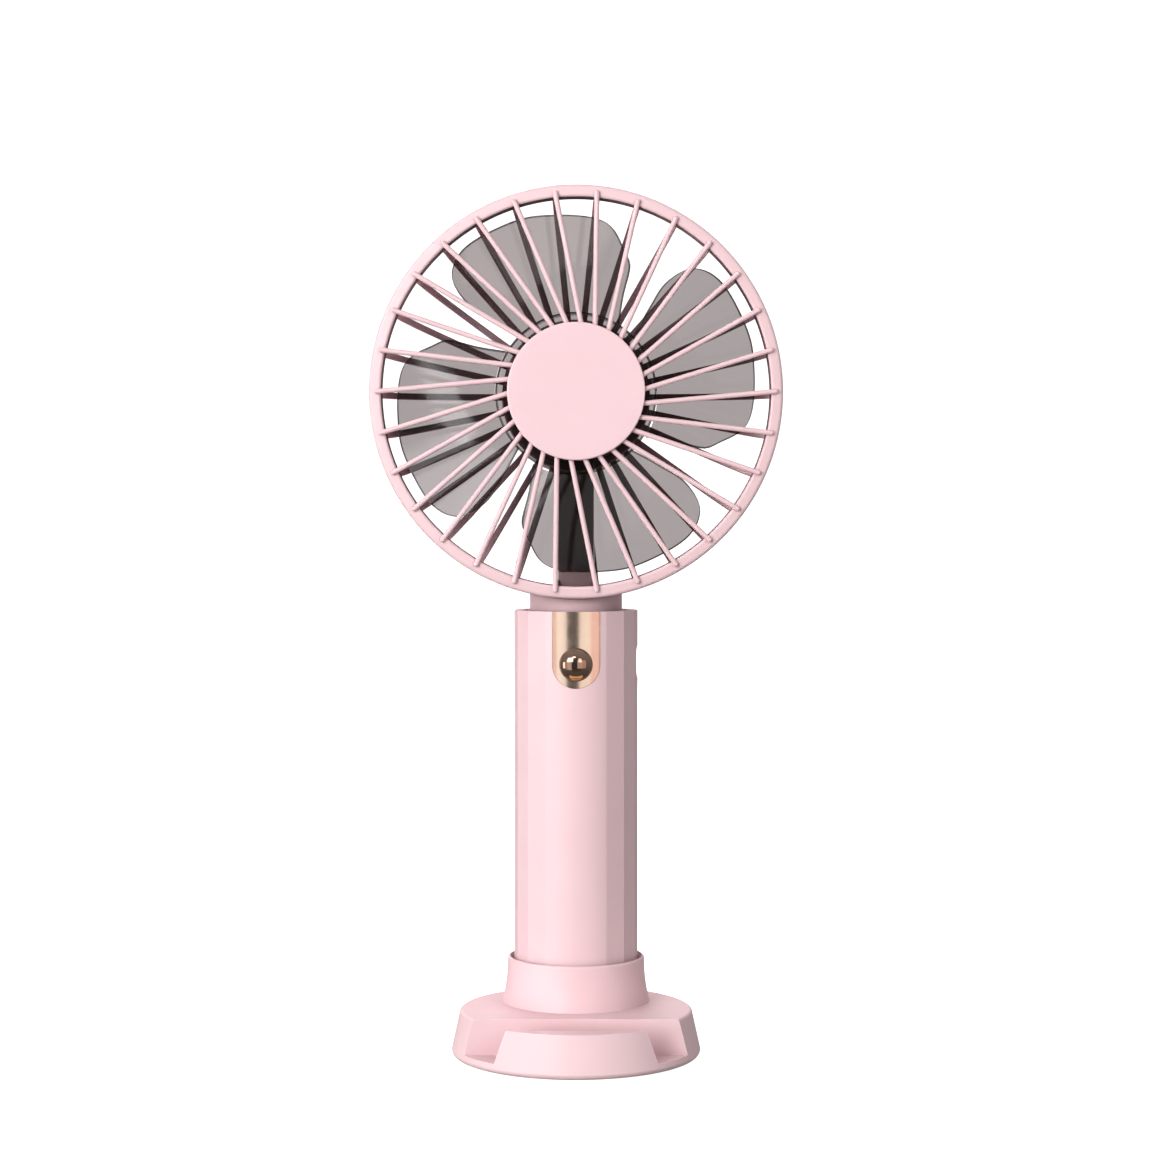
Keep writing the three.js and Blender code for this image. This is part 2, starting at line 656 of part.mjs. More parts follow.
// A brush strip from the end cap to the commutator, on one side of the shaft.
function brush(side) {
  const near = COMMUTATOR_RADIUS + FIT;
  const strip = block([near, MAGNET_BACK_Y + 0.4, -1], [MOTOR_RADIUS - 3, MAGNET_BACK_Y + 0.8, 1]);
  return side > 0 ? strip : spun(strip, 180);
}

function motorScrew(side) {
  const seat = POD_FRONT_Y - REST;
  const x = side * MOTOR_SCREW_X;
  const head = pinY(SCREW_HEAD_RADIUS, seat - SCREW_HEAD_HEIGHT, seat, x, 0);
  const drive = pinY(SCREW_HEAD_RADIUS / 2, seat - 2, seat - SCREW_HEAD_HEIGHT / 2, x, 0, 6);
  return cut(joined(head, pinY(SCREW_RADIUS, seat - 0.5, MOTOR_FRONT_Y + 1, x, 0)), drive);
}

// The motor's leads run down behind it, through the column and the neck, to the board.
function motorLead(side) {
  const ductX = side * 0.9;
  return wire([
    [side * 5, motorBack + 0.3, -3],
    [side * 5, motorBack + 0.9, -3.3],
    [side * 2.6, motorBack + 0.9, -8],
    [ductX, motorBack + 0.75, -13.4],
    [ductX, 8.2, -18],
    [ductX, 6.3, -32],
    [ductX, 5.9, -44],
    [ductX, 5.9, TONGUE_BOTTOM - 0.4 - HEAD_Z],
    [side * 2 - 1.5, 2.6, BOARD_TOP - 1.3 - HEAD_Z],
    [side * 2.2 - 1.5, BOARD_BACK_Y + FIT, BOARD_TOP - 1.5 - HEAD_Z],
  ], LEAD_RADIUS, 6, 26);
}

// ---------------------------------------------------------------- rotor

// A blade's outline on the head: angle from its own middle line, radius.
const BLADE_OUTLINE = [
  [-44, 17],
  [-49, 23.8],
  [-50.5, 30.4],
  [-46.5, 36.8],
  [-36.7, 39.2],
  [-19.4, 39.3],
  [-6.6, 38.7],
  [5.4, 38.2],
  [12.4, 36.7],
  [18.9, 32.6],
  [23, 30],
  [25.8, 23.4],
  [32.5, 17],
];
const BLADE_FRONT_Y = -8.2;
const BLADE_BACK_Y = -0.6;

function blade() {
  const corners = BLADE_OUTLINE.map(([angle, radius]) => {
    const [x, , z] = onHead(angle, radius, 0);
    return new THREE.Vector2(x, z);
  });
  const outline = new THREE.Shape();
  outline.moveTo(corners[0].x, corners[0].y);
  outline.splineThru(corners.slice(1));
  outline.closePath();
  const settings = { depth: BLADE_THICKNESS, bevelEnabled: false, curveSegments: 2 };
  const sheet = new THREE.ExtrudeGeometry(outline, settings).rotateX(Math.PI / 2);
  // The blade is pitched: its leading side, clockwise, lies further back than its trailing side.
  const [start, end] = [BLADE_OUTLINE[0][0], BLADE_OUTLINE.at(-1)[0]];
  const place = sheet.attributes.position;
  for (let i = 0; i < place.count; i++) {
    const angle = THREE.MathUtils.radToDeg(Math.atan2(place.getX(i), place.getZ(i)));
    const across = (angle - start) / (end - start);
    const pitch = THREE.MathUtils.lerp(BLADE_FRONT_Y, BLADE_BACK_Y, across);
    place.setY(i, place.getY(i) + pitch + BLADE_THICKNESS);
  }
  return solid(sheet);
}

function impeller() {
  const shape = blade();
  const blades = Array.from({ length: BLADE_COUNT }, (_, i) => spun(shape, (i * 360) / BLADE_COUNT));
  const inner = IMPELLER_HUB_RADIUS - IMPELLER_WALL;
  const cavity = drumY(inner, IMPELLER_FRONT_Y + IMPELLER_WALL, BEYOND);
  const hub = drumY(IMPELLER_HUB_RADIUS, IMPELLER_FRONT_Y, IMPELLER_BACK_Y);
  const boss = drumY(3, IMPELLER_FRONT_Y + 1, MOTOR_FRONT_Y - 1.6, SMALL);
  const bore = drumY(SHAFT_BORE, IMPELLER_FRONT_Y + 1, 0, SMALL);
  return cut(joined(cut(joined(hub, ...blades), cavity), boss), bore);
}

const motorShaft = () => drumY(SHAFT_RADIUS, IMPELLER_FRONT_Y + 1.1, motorBack + 0.3, SMALL);

function armatureCore() {
  const [tip, window, gapHalf] = [8.5, 6.6, 0.6];
  const [front, back] = [CORE_FRONT_Y - 1, CORE_BACK_Y + 1];
  const windows = POLES.flatMap((turn) =>
    [-1, 1].map((side) =>
      spun(block([side * POLE_HALF, front, 2.6], [side * window, back, window * 0.8]), turn),
    ),
  );
  const gaps = POLES.map((turn) => spun(block([-gapHalf, front, 3], [gapHalf, back, tip + 1]), turn + 60));
  const bore = drumY(SHAFT_BORE, front, back, SMALL);
  return cut(drumY(tip, CORE_FRONT_Y, CORE_BACK_Y), ...windows, ...gaps, bore);
}

// A coil wound round one pole's neck.
function winding(turn) {
  const build = 0.75;
  const inner = POLE_HALF + FIT;
  const [front, back] = [CORE_FRONT_Y - FIT, CORE_BACK_Y + FIT];
  const outside = block([-inner - build, front - build, 2.8], [inner + build, back + build, 5]);
  return spun(cut(outside, block([-inner, front, 2], [inner, back, 6])), turn);
}

const commutator = () => hoopY(SHAFT_BORE, COMMUTATOR_RADIUS, CORE_BACK_Y + 1, motorBack - 1.5, SMALL);

// ---------------------------------------------------------------- button

// A dome with a flange that keeps it behind the handle's wall and a stem that reaches the plunger.
function buttonDome() {
  const [flangeY, flange, stem, steps] = [-10.1, 0.9, 1.4, 6];
  const stemEnd = switchFace - 1.2;
  const face = -TRIM_FACE_RADIUS;
  const dome = Array.from({ length: steps }, (_, i) => {
    const angle = (i / steps) * (Math.PI / 2);
    return [BUTTON_RADIUS * Math.cos(angle), face - BUTTON_RISE * Math.sin(angle)];
  });
  return turnedY([
    [0, stemEnd],
    [stem, stemEnd],
    [stem, flangeY + flange],
    [BUTTON_RADIUS + flange, flangeY + flange],
    [BUTTON_RADIUS + flange, flangeY],
    [BUTTON_RADIUS, flangeY],
    ...dome,
    [0, face - BUTTON_RISE],
  ], FINE);
}

// ---------------------------------------------------------------- assembly

const FINISHES = {
  pinkPlastic: { color: 0xf6d2d8, roughness: 0.42, metalness: 0 },
  pinkSatin: { color: 0xfbd9dd, roughness: 0.35, metalness: 0 },
  smokyPlastic: { color: 0x5f5654, roughness: 0.15, metalness: 0, transparent: true, opacity: 0.5 },
  goldPlate: { color: 0xe6bf95, roughness: 0.18, metalness: 1 },
  bronzeMirror: { color: 0xb98f62, roughness: 0.05, metalness: 1 },
  padRubber: { color: 0x4a4647, roughness: 0.85, metalness: 0 },
  screwSteel: { color: 0x8f8f92, roughness: 0.35, metalness: 1 },
  cellWrap: { color: 0x3f8f6a, roughness: 0.4, metalness: 0 },
  nickel: { color: 0xc9c4b8, roughness: 0.3, metalness: 1 },
  boardGreen: { color: 0x1f5a35, roughness: 0.5, metalness: 0 },
  blackPlastic: { color: 0x1b1b1c, roughness: 0.5, metalness: 0 },
  redWire: { color: 0xb3201c, roughness: 0.5, metalness: 0 },
  blackWire: { color: 0x161616, roughness: 0.5, metalness: 0 },
  motorSteel: { color: 0xa9aaad, roughness: 0.3, metalness: 1 },
  magnetFerrite: { color: 0x3b3a3c, roughness: 0.7, metalness: 0.2 },
  bushBronze: { color: 0xa9793f, roughness: 0.45, metalness: 1 },
  copper: { color: 0xb5612f, roughness: 0.35, metalness: 1 },
};

const object = new THREE.Group();
const stand = new THREE.Group();
const fan = new THREE.Group();
const headGroup = new THREE.Group();
fan.position.set(0, HANDLE_Y, 0);
headGroup.position.set(0, 0, HEAD_Z);
object.add(stand, fan);
fan.add(headGroup);

function place(group, name, finish, made) {
  const mesh = new THREE.Mesh(geometryOf(made), new THREE.MeshStandardMaterial(FINISHES[finish]));
  mesh.name = name;
  group.add(mesh);
}

place(stand, "stand_base", "pinkPlastic", standBase());
place(stand, "stand_pad", "padRubber", standPad());

place(fan, "handle_front_shell", "pinkPlastic", handleFrontShell());
place(fan, "handle_rear_shell", "pinkPlastic", handleRearShell());
place(fan, "handle_end_cap", "pinkPlastic", handleEndCap());
place(fan, "handle_top_screw", "screwSteel", backScrew(TONGUE_BACK_Y - COLUMN_WALL, TOP_SCREW_Z));
place(fan, "handle_bottom_screw", "screwSteel", backScrew(-BOTTOM_SCREW_REACH, BOTTOM_SCREW_Z));
place(fan, "trim_plate", "goldPlate", trimPlate());
place(fan, "battery_cell", "cellWrap", batteryCell());
place(fan, "cell_top_tab", "nickel", cellTab(cellTop + REST));
place(fan, "cell_bottom_tab", "nickel", cellTab(CELL_BOTTOM - REST - TAB_THICKNESS));
place(fan, "cell_lead_red", "redWire", cellLead(true));
place(fan, "cell_lead_black", "blackWire", cellLead(false));
place(fan, "circuit_board", "boardGreen", circuitBoard());
place(fan, "tact_switch", "blackPlastic", tactSwitch());
place(fan, "usb_socket", "nickel", usbSocket());
place(fan, "controller_chip", "blackPlastic", controllerChip());
place(fan, "power_inductor", "magnetFerrite", powerInductor());
place(fan, "neck", "pinkPlastic", neck());
place(fan, "button_dome", "bronzeMirror", buttonDome().translate([0, 0, BUTTON_Z]));
place(fan, "switch_plunger", "blackPlastic", switchPlunger());

place(headGroup, "motor_housing", "pinkPlastic", motorHousing());
place(headGroup, "rear_grille", "pinkPlastic", rearGrille());
place(headGroup, "rear_cap", "pinkPlastic", rearCap());
place(headGroup, "front_grille", "pinkPlastic", frontGrille());
place(headGroup, "hub_cap", "pinkSatin", hubCap());
place(headGroup, "motor_can", "motorSteel", motorCan());
place(headGroup, "motor_end_cap", "blackPlastic", motorEndCap());
place(headGroup, "magnet_upper", "magnetFerrite", magnet(1));
place(headGroup, "magnet_lower", "magnetFerrite", magnet(-1));
place(headGroup, "front_bush", "bushBronze", frontBush());
place(headGroup, "rear_bush", "bushBronze", rearBush());
place(headGroup, "brush_left", "copper", brush(-1));
place(headGroup, "brush_right", "copper", brush(1));
place(headGroup, "motor_screw_left", "screwSteel", motorScrew(-1));
place(headGroup, "motor_screw_right", "screwSteel", motorScrew(1));
place(headGroup, "motor_lead_black", "blackWire", motorLead(-1));
place(headGroup, "motor_lead_red", "redWire", motorLead(1));
place(headGroup, "impeller", "smokyPlastic", impeller());
place(headGroup, "motor_shaft", "screwSteel", motorShaft());
place(headGroup, "armature_core", "motorSteel", armatureCore());
POLES.forEach((turn, i) => place(headGroup, `winding_${i + 1}`, "copper", winding(turn)));
place(headGroup, "commutator", "copper", commutator());

export default object;
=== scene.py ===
import math

import bmesh
import bpy
from mathutils import Matrix, Vector


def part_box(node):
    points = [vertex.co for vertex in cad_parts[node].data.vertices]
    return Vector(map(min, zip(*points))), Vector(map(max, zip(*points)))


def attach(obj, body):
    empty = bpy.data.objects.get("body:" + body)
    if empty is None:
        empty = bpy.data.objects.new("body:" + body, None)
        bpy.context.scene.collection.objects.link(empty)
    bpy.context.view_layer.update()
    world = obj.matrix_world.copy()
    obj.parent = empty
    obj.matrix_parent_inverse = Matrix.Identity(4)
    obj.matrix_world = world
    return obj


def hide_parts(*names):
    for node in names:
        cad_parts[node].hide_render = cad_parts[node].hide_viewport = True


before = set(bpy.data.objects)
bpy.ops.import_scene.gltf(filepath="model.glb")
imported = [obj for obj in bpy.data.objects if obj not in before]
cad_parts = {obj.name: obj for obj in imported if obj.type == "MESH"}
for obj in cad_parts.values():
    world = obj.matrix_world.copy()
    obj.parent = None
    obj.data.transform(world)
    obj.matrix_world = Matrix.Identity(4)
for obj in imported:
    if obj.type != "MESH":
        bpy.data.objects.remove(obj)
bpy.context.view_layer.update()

# ---------------------------------------------------------------- places taken from the frame, in mm

MM = 0.001


def box_mm(node):
    low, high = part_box(node)
    return low / MM, high / MM


cell_low, cell_high = box_mm("battery_cell")
grille_low, grille_high = box_mm("front_grille")
housing_low, housing_high = box_mm("motor_housing")
hub_low, hub_high = box_mm("hub_cap")
rear_cap_low, rear_cap_high = box_mm("rear_cap")
_, shell_high = box_mm("handle_front_shell")
end_cap_low, end_cap_high = box_mm("handle_end_cap")
trim_low, trim_high = box_mm("trim_plate")
button_low, button_high = box_mm("button_dome")
impeller_low, _ = box_mm("impeller")
neck_low, _ = box_mm("neck")
stand_low, stand_high = box_mm("stand_base")
_, pad_high = box_mm("stand_pad")
motor_low, _ = box_mm("motor_can")

AXIS_Y = (cell_low.y + cell_high.y) / 2
HEAD_Z = (grille_low.z + grille_high.z) / 2
RING_R = grille_high.x
# The hub stands proud of the ring, and the ring is a narrow front half on a deeper rear half.
HUB_PROUD = 2.1
FRONT_HALF_DEPTH = 4.4
RING_DEPTH = 10
RING_FRONT = hub_low.y + HUB_PROUD
RING_SPLIT = RING_FRONT + FRONT_HALF_DEPTH
RING_BACK = RING_FRONT + RING_DEPTH
HANDLE_R = shell_high.x
HANDLE_BOTTOM = end_cap_low.z
HANDLE_TOP = shell_high.z
BUTTON_Z = (button_low.z + button_high.z) / 2
TRIM_HALF = trim_high.x
POD_R = housing_high.x
POD_WALL = 1.9
POD_FRONT = motor_low.y - POD_WALL
POD_BACK = rear_cap_low.y - 0.2
RIB_COUNT = 30
RIB_PITCH = 360 / RIB_COUNT
RIB_SWEEP = 11
TURN = 2 * math.pi
# Clearance between pieces that fit into each other, and two reaches for cutters that run past a piece.
FIT = 0.15
BEYOND = 60
FAR = 200

# ---------------------------------------------------------------- mesh helpers


def arc(x, y, radius, start, end, steps):
    """Points round an arc of a profile, angles in degrees."""
    angles = [math.radians(start + (end - start) * i / steps) for i in range(steps + 1)]
    return [(x + radius * math.cos(a), y + radius * math.sin(a)) for a in angles]


def new_object(name, bm):
    bmesh.ops.recalc_face_normals(bm, faces=bm.faces)
    mesh = bpy.data.meshes.new(name)
    bm.to_mesh(mesh)
    bm.free()
    ob = bpy.data.objects.new(name, mesh)
    bpy.context.scene.collection.objects.link(ob)
    return ob


def skinned(bm, rings, count):
    """Faces between neighbouring rings of points, where a ring of one point is a tip."""
    for a, b in zip(rings, rings[1:]):
        for i in range(count):
            j = (i + 1) % count
            corners = [a[i % len(a)], a[j % len(a)], b[j % len(b)], b[i % len(b)]]
            corners = list(dict.fromkeys(corners))
            if len(corners) > 2:
                bm.faces.new(corners)


def lathe(name, profile, along="Z", steps=192):
    """A solid turned about the handle's axis (Z) or the fan's axis (Y), from (radius, place) pairs."""
    bm = bmesh.new()

    def spot(radius, place, i):
        a = TURN * i / steps
        if along == "Z":
            return (radius * math.sin(a), AXIS_Y - radius * math.cos(a), place)
        return (radius * math.sin(a), place, HEAD_Z + radius * math.cos(a))

    closed = profile[0] == profile[-1]
    rings = []
    for radius, place in profile[:-1] if closed else profile:
        count = steps if radius > 1e-6 else 1
        rings.append([bm.verts.new(spot(radius, place, i)) for i in range(count)])
    if closed:
        rings.append(rings[0])
    skinned(bm, rings, steps)
    return new_object(name, bm)


def prism(name, outline, low, high, along="Z"):
    """An outline in X-Y raised along Z, one in X-Z run along Y, or one in (radius, Y) on the head along X."""
    bm = bmesh.new()

    def spot(a, b, level):
        places = {"Z": (a, b, level), "Y": (a, level, b), "X": (level, b, HEAD_Z + a)}
        return places[along]

    ends = [[bm.verts.new(spot(a, b, level)) for a, b in outline] for level in (low, high)]
    bm.faces.new(ends[0])
    bm.faces.new(ends[1][::-1])
    for i in range(len(outline)):
        j = (i + 1) % len(outline)
        bm.faces.new((ends[0][i], ends[0][j], ends[1][j], ends[1][i]))
    return new_object(name, bm)


def block(name, low, high):
    (x0, y0, z0), (x1, y1, z1) = low, high
    return prism(name, [(x0, y0), (x1, y0), (x1, y1), (x0, y1)], z0, z1)


def pin(name, radius, front, back, x, z, steps=64):
    """A round bar along Y."""
    return prism(name, arc(x, z, radius, 0, 360 - 360 / steps, steps - 1), front, back, "Y")


def rod(name, start, end, radius, sides=20, rounds=5):
    """A straight round rod with domed ends."""
    start, end = Vector(start), Vector(end)
    run = (end - start).normalized()
    side = run.orthogonal().normalized()
    other = run.cross(side)
    rings = [(start, -math.pi / 2 * (1 - i / rounds)) for i in range(rounds + 1)]
    rings += [(end, math.pi / 2 * i / rounds) for i in range(rounds + 1)]
    bm = bmesh.new()
    made = []
    for middle, lift in rings:
        centre = middle + run * radius * math.sin(lift)
        width = radius * math.cos(lift)
        if width < radius * 0.01:
            made.append([bm.verts.new(centre)])
            continue
        turns = [TURN * i / sides for i in range(sides)]
        spots = [centre + width * (side * math.cos(a) + other * math.sin(a)) for a in turns]
        made.append([bm.verts.new(spot) for spot in spots])
    skinned(bm, made, sides)
    return new_object(name, bm)


def applied(ob):
    """Bakes an object's modifiers into its mesh."""
    shown = ob.evaluated_get(bpy.context.evaluated_depsgraph_get())
    made = bpy.data.meshes.new_from_object(shown)
    old = ob.data
    ob.modifiers.clear()
    ob.data = made
    bpy.data.meshes.remove(old)
    return ob


def carved(ob, *tools, operation="DIFFERENCE"):
    for tool in tools:
        modifier = ob.modifiers.new("carve", "BOOLEAN")
        modifier.operation = operation
        modifier.solver = "EXACT"
        modifier.object = tool
        applied(ob)
        bpy.data.objects.remove(tool)
    return ob


def joined(name, *parts):
    """Several objects as one mesh, without cutting them."""
    bm = bmesh.new()
    for part in parts:
        bm.from_mesh(part.data)
        bpy.data.objects.remove(part)
    return new_object(name, bm)


def softened(ob, width, segments=3, angle=30):
    """Rounds every edge sharper than an angle."""
    bevel = ob.modifiers.new("soften", "BEVEL")
    bevel.width = width
    bevel.segments = segments
    bevel.limit_method = "ANGLE"
    bevel.angle_limit = math.radians(angle)
    return applied(ob)


def spun(ob, degrees):
    """Turned about the fan's axis, clockwise as seen from the front."""
    to_axis = Matrix.Translation((0, 0, HEAD_Z))
    ob.data.transform(to_axis @ Matrix.Rotation(math.radians(degrees), 4, "Y") @ to_axis.inverted())
    return ob


def copied(ob, name):
    twin = bpy.data.objects.new(name, ob.data.copy())
    bpy.context.scene.collection.objects.link(twin)
    return twin


def spread(ob, count):
    """Copies of a piece all round the fan's axis, as one mesh."""
    twins = [spun(copied(ob, f"{ob.name}_{i}"), i * 360 / count) for i in range(count)]
    name = ob.name
    bpy.data.objects.remove(ob)
    return joined(name, *twins)


def on_head(degrees, radius, y):
    """A point on the head: its angle clockwise from the top as seen from the front."""
    a = math.radians(degrees)
    return Vector((radius * math.sin(a), y, HEAD_Z + radius * math.cos(a)))


def shown(ob, body, materials, slot, node, crease=28):
    """A finished piece: scaled to metres, shaded, given its materials and fixed to its body."""
    ob.data.transform(Matrix.Scale(MM, 4))
    ob.data.shade_smooth()
    ob.data.set_sharp_from_angle(angle=math.radians(crease))
    weighted = ob.modifiers.new("weighted", "WEIGHTED_NORMAL")
    weighted.keep_sharp = True
    applied(ob)
    if ob.data.materials:
        ob.data.materials.clear()
    for material in materials:
        ob.data.materials.append(material)
    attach(ob, body)
    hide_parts(node)
    return ob


def rolled(ob, radius):
    """Exact normals on faces that lie on a cylinder about the handle's axis, so reflections run straight."""
    mesh = ob.data
    tolerance = 0.01
    axis = Vector((0, AXIS_Y * MM, 0))
    normals = [corner.vector.copy() for corner in mesh.corner_normals]
    for face in mesh.polygons:
        away = [(mesh.vertices[i].co - axis) * Vector((1, 1, 0)) for i in face.vertices]
        if all(abs(arm.length - radius * MM) < tolerance * MM for arm in away):
            for corner, arm in zip(face.loop_indices, away):
                normals[corner] = arm.normalized()
    mesh.normals_split_custom_set(normals)
    return ob


# ---------------------------------------------------------------- materials


def srgb(text):
    """A linear colour from its usual six digits."""
    parts = [int(text[i : i + 2], 16) / 255 for i in (0, 2, 4)]
    return [c / 12.92 if c <= 0.04045 else ((c + 0.055) / 1.055) ** 2.4 for c in parts] + [1]


class Maker:
    """Builds one material's nodes around its Principled shader."""

    def __init__(self, name, **settings):
        self.material = bpy.data.materials.new(name)
        self.material.use_nodes = True
        self.tree = self.material.node_tree
        self.shader = self.tree.nodes["Principled BSDF"]
        for socket, value in settings.items():
            self.shader.inputs[socket.replace("_", " ")].default_value = value
        self.coordinates = self.tree.nodes.new("ShaderNodeTexCoord").outputs["Object"]

    def link(self, source, target):
        self.tree.links.new(source, target)

    def noise(self, scale, detail=3, stretch=(1, 1, 1)):
        mapping = self.tree.nodes.new("ShaderNodeMapping")
        mapping.inputs["Scale"].default_value = stretch
        self.link(self.coordinates, mapping.inputs["Vector"])
        node = self.tree.nodes.new("ShaderNodeTexNoise")
        node.inputs["Scale"].default_value = scale
        node.inputs["Detail"].default_value = detail
        self.link(mapping.outputs["Vector"], node.inputs["Vector"])
        return node.outputs["Fac"]

    def ranged(self, value, low, high, start=0.3, end=0.7):
        node = self.tree.nodes.new("ShaderNodeMapRange")
        node.inputs["From Min"].default_value = start
        node.inputs["From Max"].default_value = end
        node.inputs["To Min"].default_value = low
        node.inputs["To Max"].default_value = high
        self.link(value, node.inputs["Value"])
        return node.outputs["Result"]

    def mixed(self, factor, first, second):
        """Two colours, or a socket and a colour, mixed by a socket."""
        node = self.tree.nodes.new("ShaderNodeMix")
        node.data_type = "RGBA"
        self.link(factor, node.inputs["Factor"])
        for socket, value in ((node.inputs["A"], first), (node.inputs["B"], second)):
            if isinstance(value, bpy.types.NodeSocket):
                self.link(value, socket)
            else:
                socket.default_value = value
        return node.outputs["Result"]

    def edges(self, width):
        """0 on flats, 1 along edges, where a rounded normal turns away from the surface's own."""
        rounded = self.tree.nodes.new("ShaderNodeBevel")
        rounded.samples = 4
        rounded.inputs["Radius"].default_value = width * MM
        geometry = self.tree.nodes.new("ShaderNodeNewGeometry")
        agreement = self.tree.nodes.new("ShaderNodeVectorMath")
        agreement.operation = "DOT_PRODUCT"
        self.link(rounded.outputs["Normal"], agreement.inputs[0])
        self.link(geometry.outputs["Normal"], agreement.inputs[1])
        return self.ranged(agreement.outputs["Value"], 1, 0, 0.8, 0.99)

    def openness(self, reach):
        """1 where nothing stands within reach of the surface, 0 deep among other pieces."""
        node = self.tree.nodes.new("ShaderNodeAmbientOcclusion")
        node.samples = 8
        node.inputs["Distance"].default_value = reach * MM
        return node.outputs["AO"]

    def bump(self, height, distance):
        node = self.tree.nodes.new("ShaderNodeBump")
        node.inputs["Strength"].default_value = 1
        node.inputs["Distance"].default_value = distance
        self.link(height, node.inputs["Height"])
        self.link(node.outputs["Normal"], self.shader.inputs["Normal"])

    def colour(self, source):
        self.link(source, self.shader.inputs["Base Color"])

    def roughness(self, source):
        self.link(source, self.shader.inputs["Roughness"])


def moulded(name, base, paler, edge_highlight, roughness, grain=0.004, painted_shade=None):
    """Satin moulded plastic: faint mottling, fine spark texture, paler edges as a painted highlight, and
    painted shade in its corners when a shade colour is given.
    """
    made = Maker(name, Specular_IOR_Level=0.45)
    mottle = made.ranged(made.noise(90), 0, 0.35)
    flecked = made.mixed(mottle, srgb(base), srgb(paler))
    # Painted highlight: the colour turns paler along rounded edges, as if they caught the light.
    painted_light = made.mixed(made.edges(0.35), flecked, srgb(edge_highlight))
    # Painted shade: the colour darkens towards the shade colour where other surfaces stand near.
    if painted_shade:
        painted_light = made.mixed(made.ranged(made.openness(9), 0, 1, 0.25, 0.9), srgb(painted_shade), painted_light)
    made.colour(painted_light)
    made.roughness(made.ranged(made.noise(260), roughness - 0.05, roughness + 0.06))
    made.bump(made.noise(5200, 2), grain * MM)
    return made.material


def plastic_with_painted_shade(name, base, shade_colour, roughness, reach, start, end):
    """The moulded plastic inside the cage, dulled, with painted shade: its colour darkens towards a shade
    colour where other pieces stand near.
    """
    made = Maker(name, Specular_IOR_Level=0.3)
    # The painted shade colour, mottled at random towards near-black.
    dust_and_painted_shade = made.mixed(made.ranged(made.noise(140, 4), 0, 0.5), srgb(shade_colour), srgb("201817"))
    made.colour(made.mixed(made.ranged(made.openness(reach), 0, 1, start, end), dust_and_painted_shade, srgb(base)))
    made.roughness(made.ranged(made.noise(260), roughness - 0.05, roughness + 0.06))
    made.bump(made.noise(5200, 2), 0.004 * MM)
    return made.material


def polished(name, base, darker, roughness):
    """Polished plate with a faint drawn grain and smudges."""
    made = Maker(name, Metallic=1.0)
    smudge = made.ranged(made.noise(150), 0, 0.5)
    made.colour(made.mixed(smudge, srgb(base), srgb(darker)))
    made.roughness(made.ranged(made.noise(420), roughness, roughness + 0.06))
    made.bump(made.noise(900, 2, (1, 1, 0.05)), 0.001 * MM)
    return made.material


def metal(name, base, darker, roughness):
    """Plain metal with machining marks and dulled patches."""
    made = Maker(name, Metallic=1.0)
    patches = made.ranged(made.noise(500), 0, 0.8)
    made.colour(made.mixed(patches, srgb(base), srgb(darker)))
    made.roughness(made.ranged(made.noise(800), roughness - 0.08, roughness + 0.12))
    made.bump(made.noise(2600, 3, (1, 0.1, 1)), 0.004 * MM)
    return made.material


def clear_smoky(name, tint, clearness, roughness):
    """Clear smoky plastic: what is behind shows through its tint, and a glossy skin lies over it."""
    made = Maker(name, Specular_IOR_Level=0.5)
    flow = made.ranged(made.noise(60, 4, (1, 1, 3)), 0, 0.6)
    made.colour(made.mixed(flow, srgb("120c0c"), srgb("2c2221")))
    made.roughness(made.ranged(made.noise(300), roughness, roughness + 0.05))
    made.bump(made.noise(240, 2), 0.01 * MM)
    through = made.tree.nodes.new("ShaderNodeBsdfTransparent")
    through.inputs["Color"].default_value = srgb(tint)
    both = made.tree.nodes.new("ShaderNodeMixShader")
    both.inputs["Fac"].default_value = clearness
    made.link(made.shader.outputs["BSDF"], both.inputs[1])
    made.link(through.outputs["BSDF"], both.inputs[2])
    made.link(both.outputs["Shader"], made.tree.nodes["Material Output"].inputs["Surface"])
    return made.material


def rubbery(name, base, paler, roughness):
    made = Maker(name, Specular_IOR_Level=0.3)
    dust_and_painted_shade = made.ranged(made.noise(1800, 5), 0, 0.4, 0.5, 0.8)
    made.colour(made.mixed(dust_and_painted_shade, srgb(base), srgb(paler)))
    made.roughness(made.ranged(made.noise(700), roughness - 0.08, roughness + 0.05))
    made.bump(made.noise(3200, 4), 0.02 * MM)
    return made.material


# Every moulded plastic has a painted highlight on its edges; this pink one also has painted shade in its
# corners.
PINK = moulded("pink_plastic", "f4d0d4", "f8dade", "fae1e5", 0.42, painted_shade="d0afb3")
# Copies of the pink with shade painted in, darkened where other pieces stand near: for the rear cage, the
# ring's inner wall (darker overall), the column (darkest), the neck and the column's foot (lighter).
PINK_INSIDE = plastic_with_painted_shade("pink_inside", "efc6ce", "2a1b1c", 0.5, 25, 0.2, 0.6)
PINK_WALL = plastic_with_painted_shade("pink_wall", "d9b0b6", "2a1b1c", 0.5, 25, 0.5, 1)
PINK_COLUMN = plastic_with_painted_shade("pink_column", "efc6ce", "1f1112", 0.5, 14, 0.35, 0.8)
PINK_SHADED = plastic_with_painted_shade("pink_shaded", "e3c3c8", "806a6c", 0.46, 8, 0.1, 0.6)
PINK_FOOT = plastic_with_painted_shade("pink_foot", "a98f92", "5c4a4b", 0.5, 8, 0.1, 0.6)
PINK_SATIN = moulded("pink_satin", "f6d2d7", "f9dbdf", "fbe2e5", 0.36, 0.001)
SMOKY = clear_smoky("smoky_plastic", "fdf7f7", 0.545, 0.05)
SMOKY_EDGE = clear_smoky("smoky_edge", "fdf7f7", 0.2, 0.1)
GOLD = polished("gold_plate", "f7dcc8", "ecc9b0", 0.14)
BRONZE = polished("bronze_mirror", "bb9c8a", "8c6c5a", 0.03)
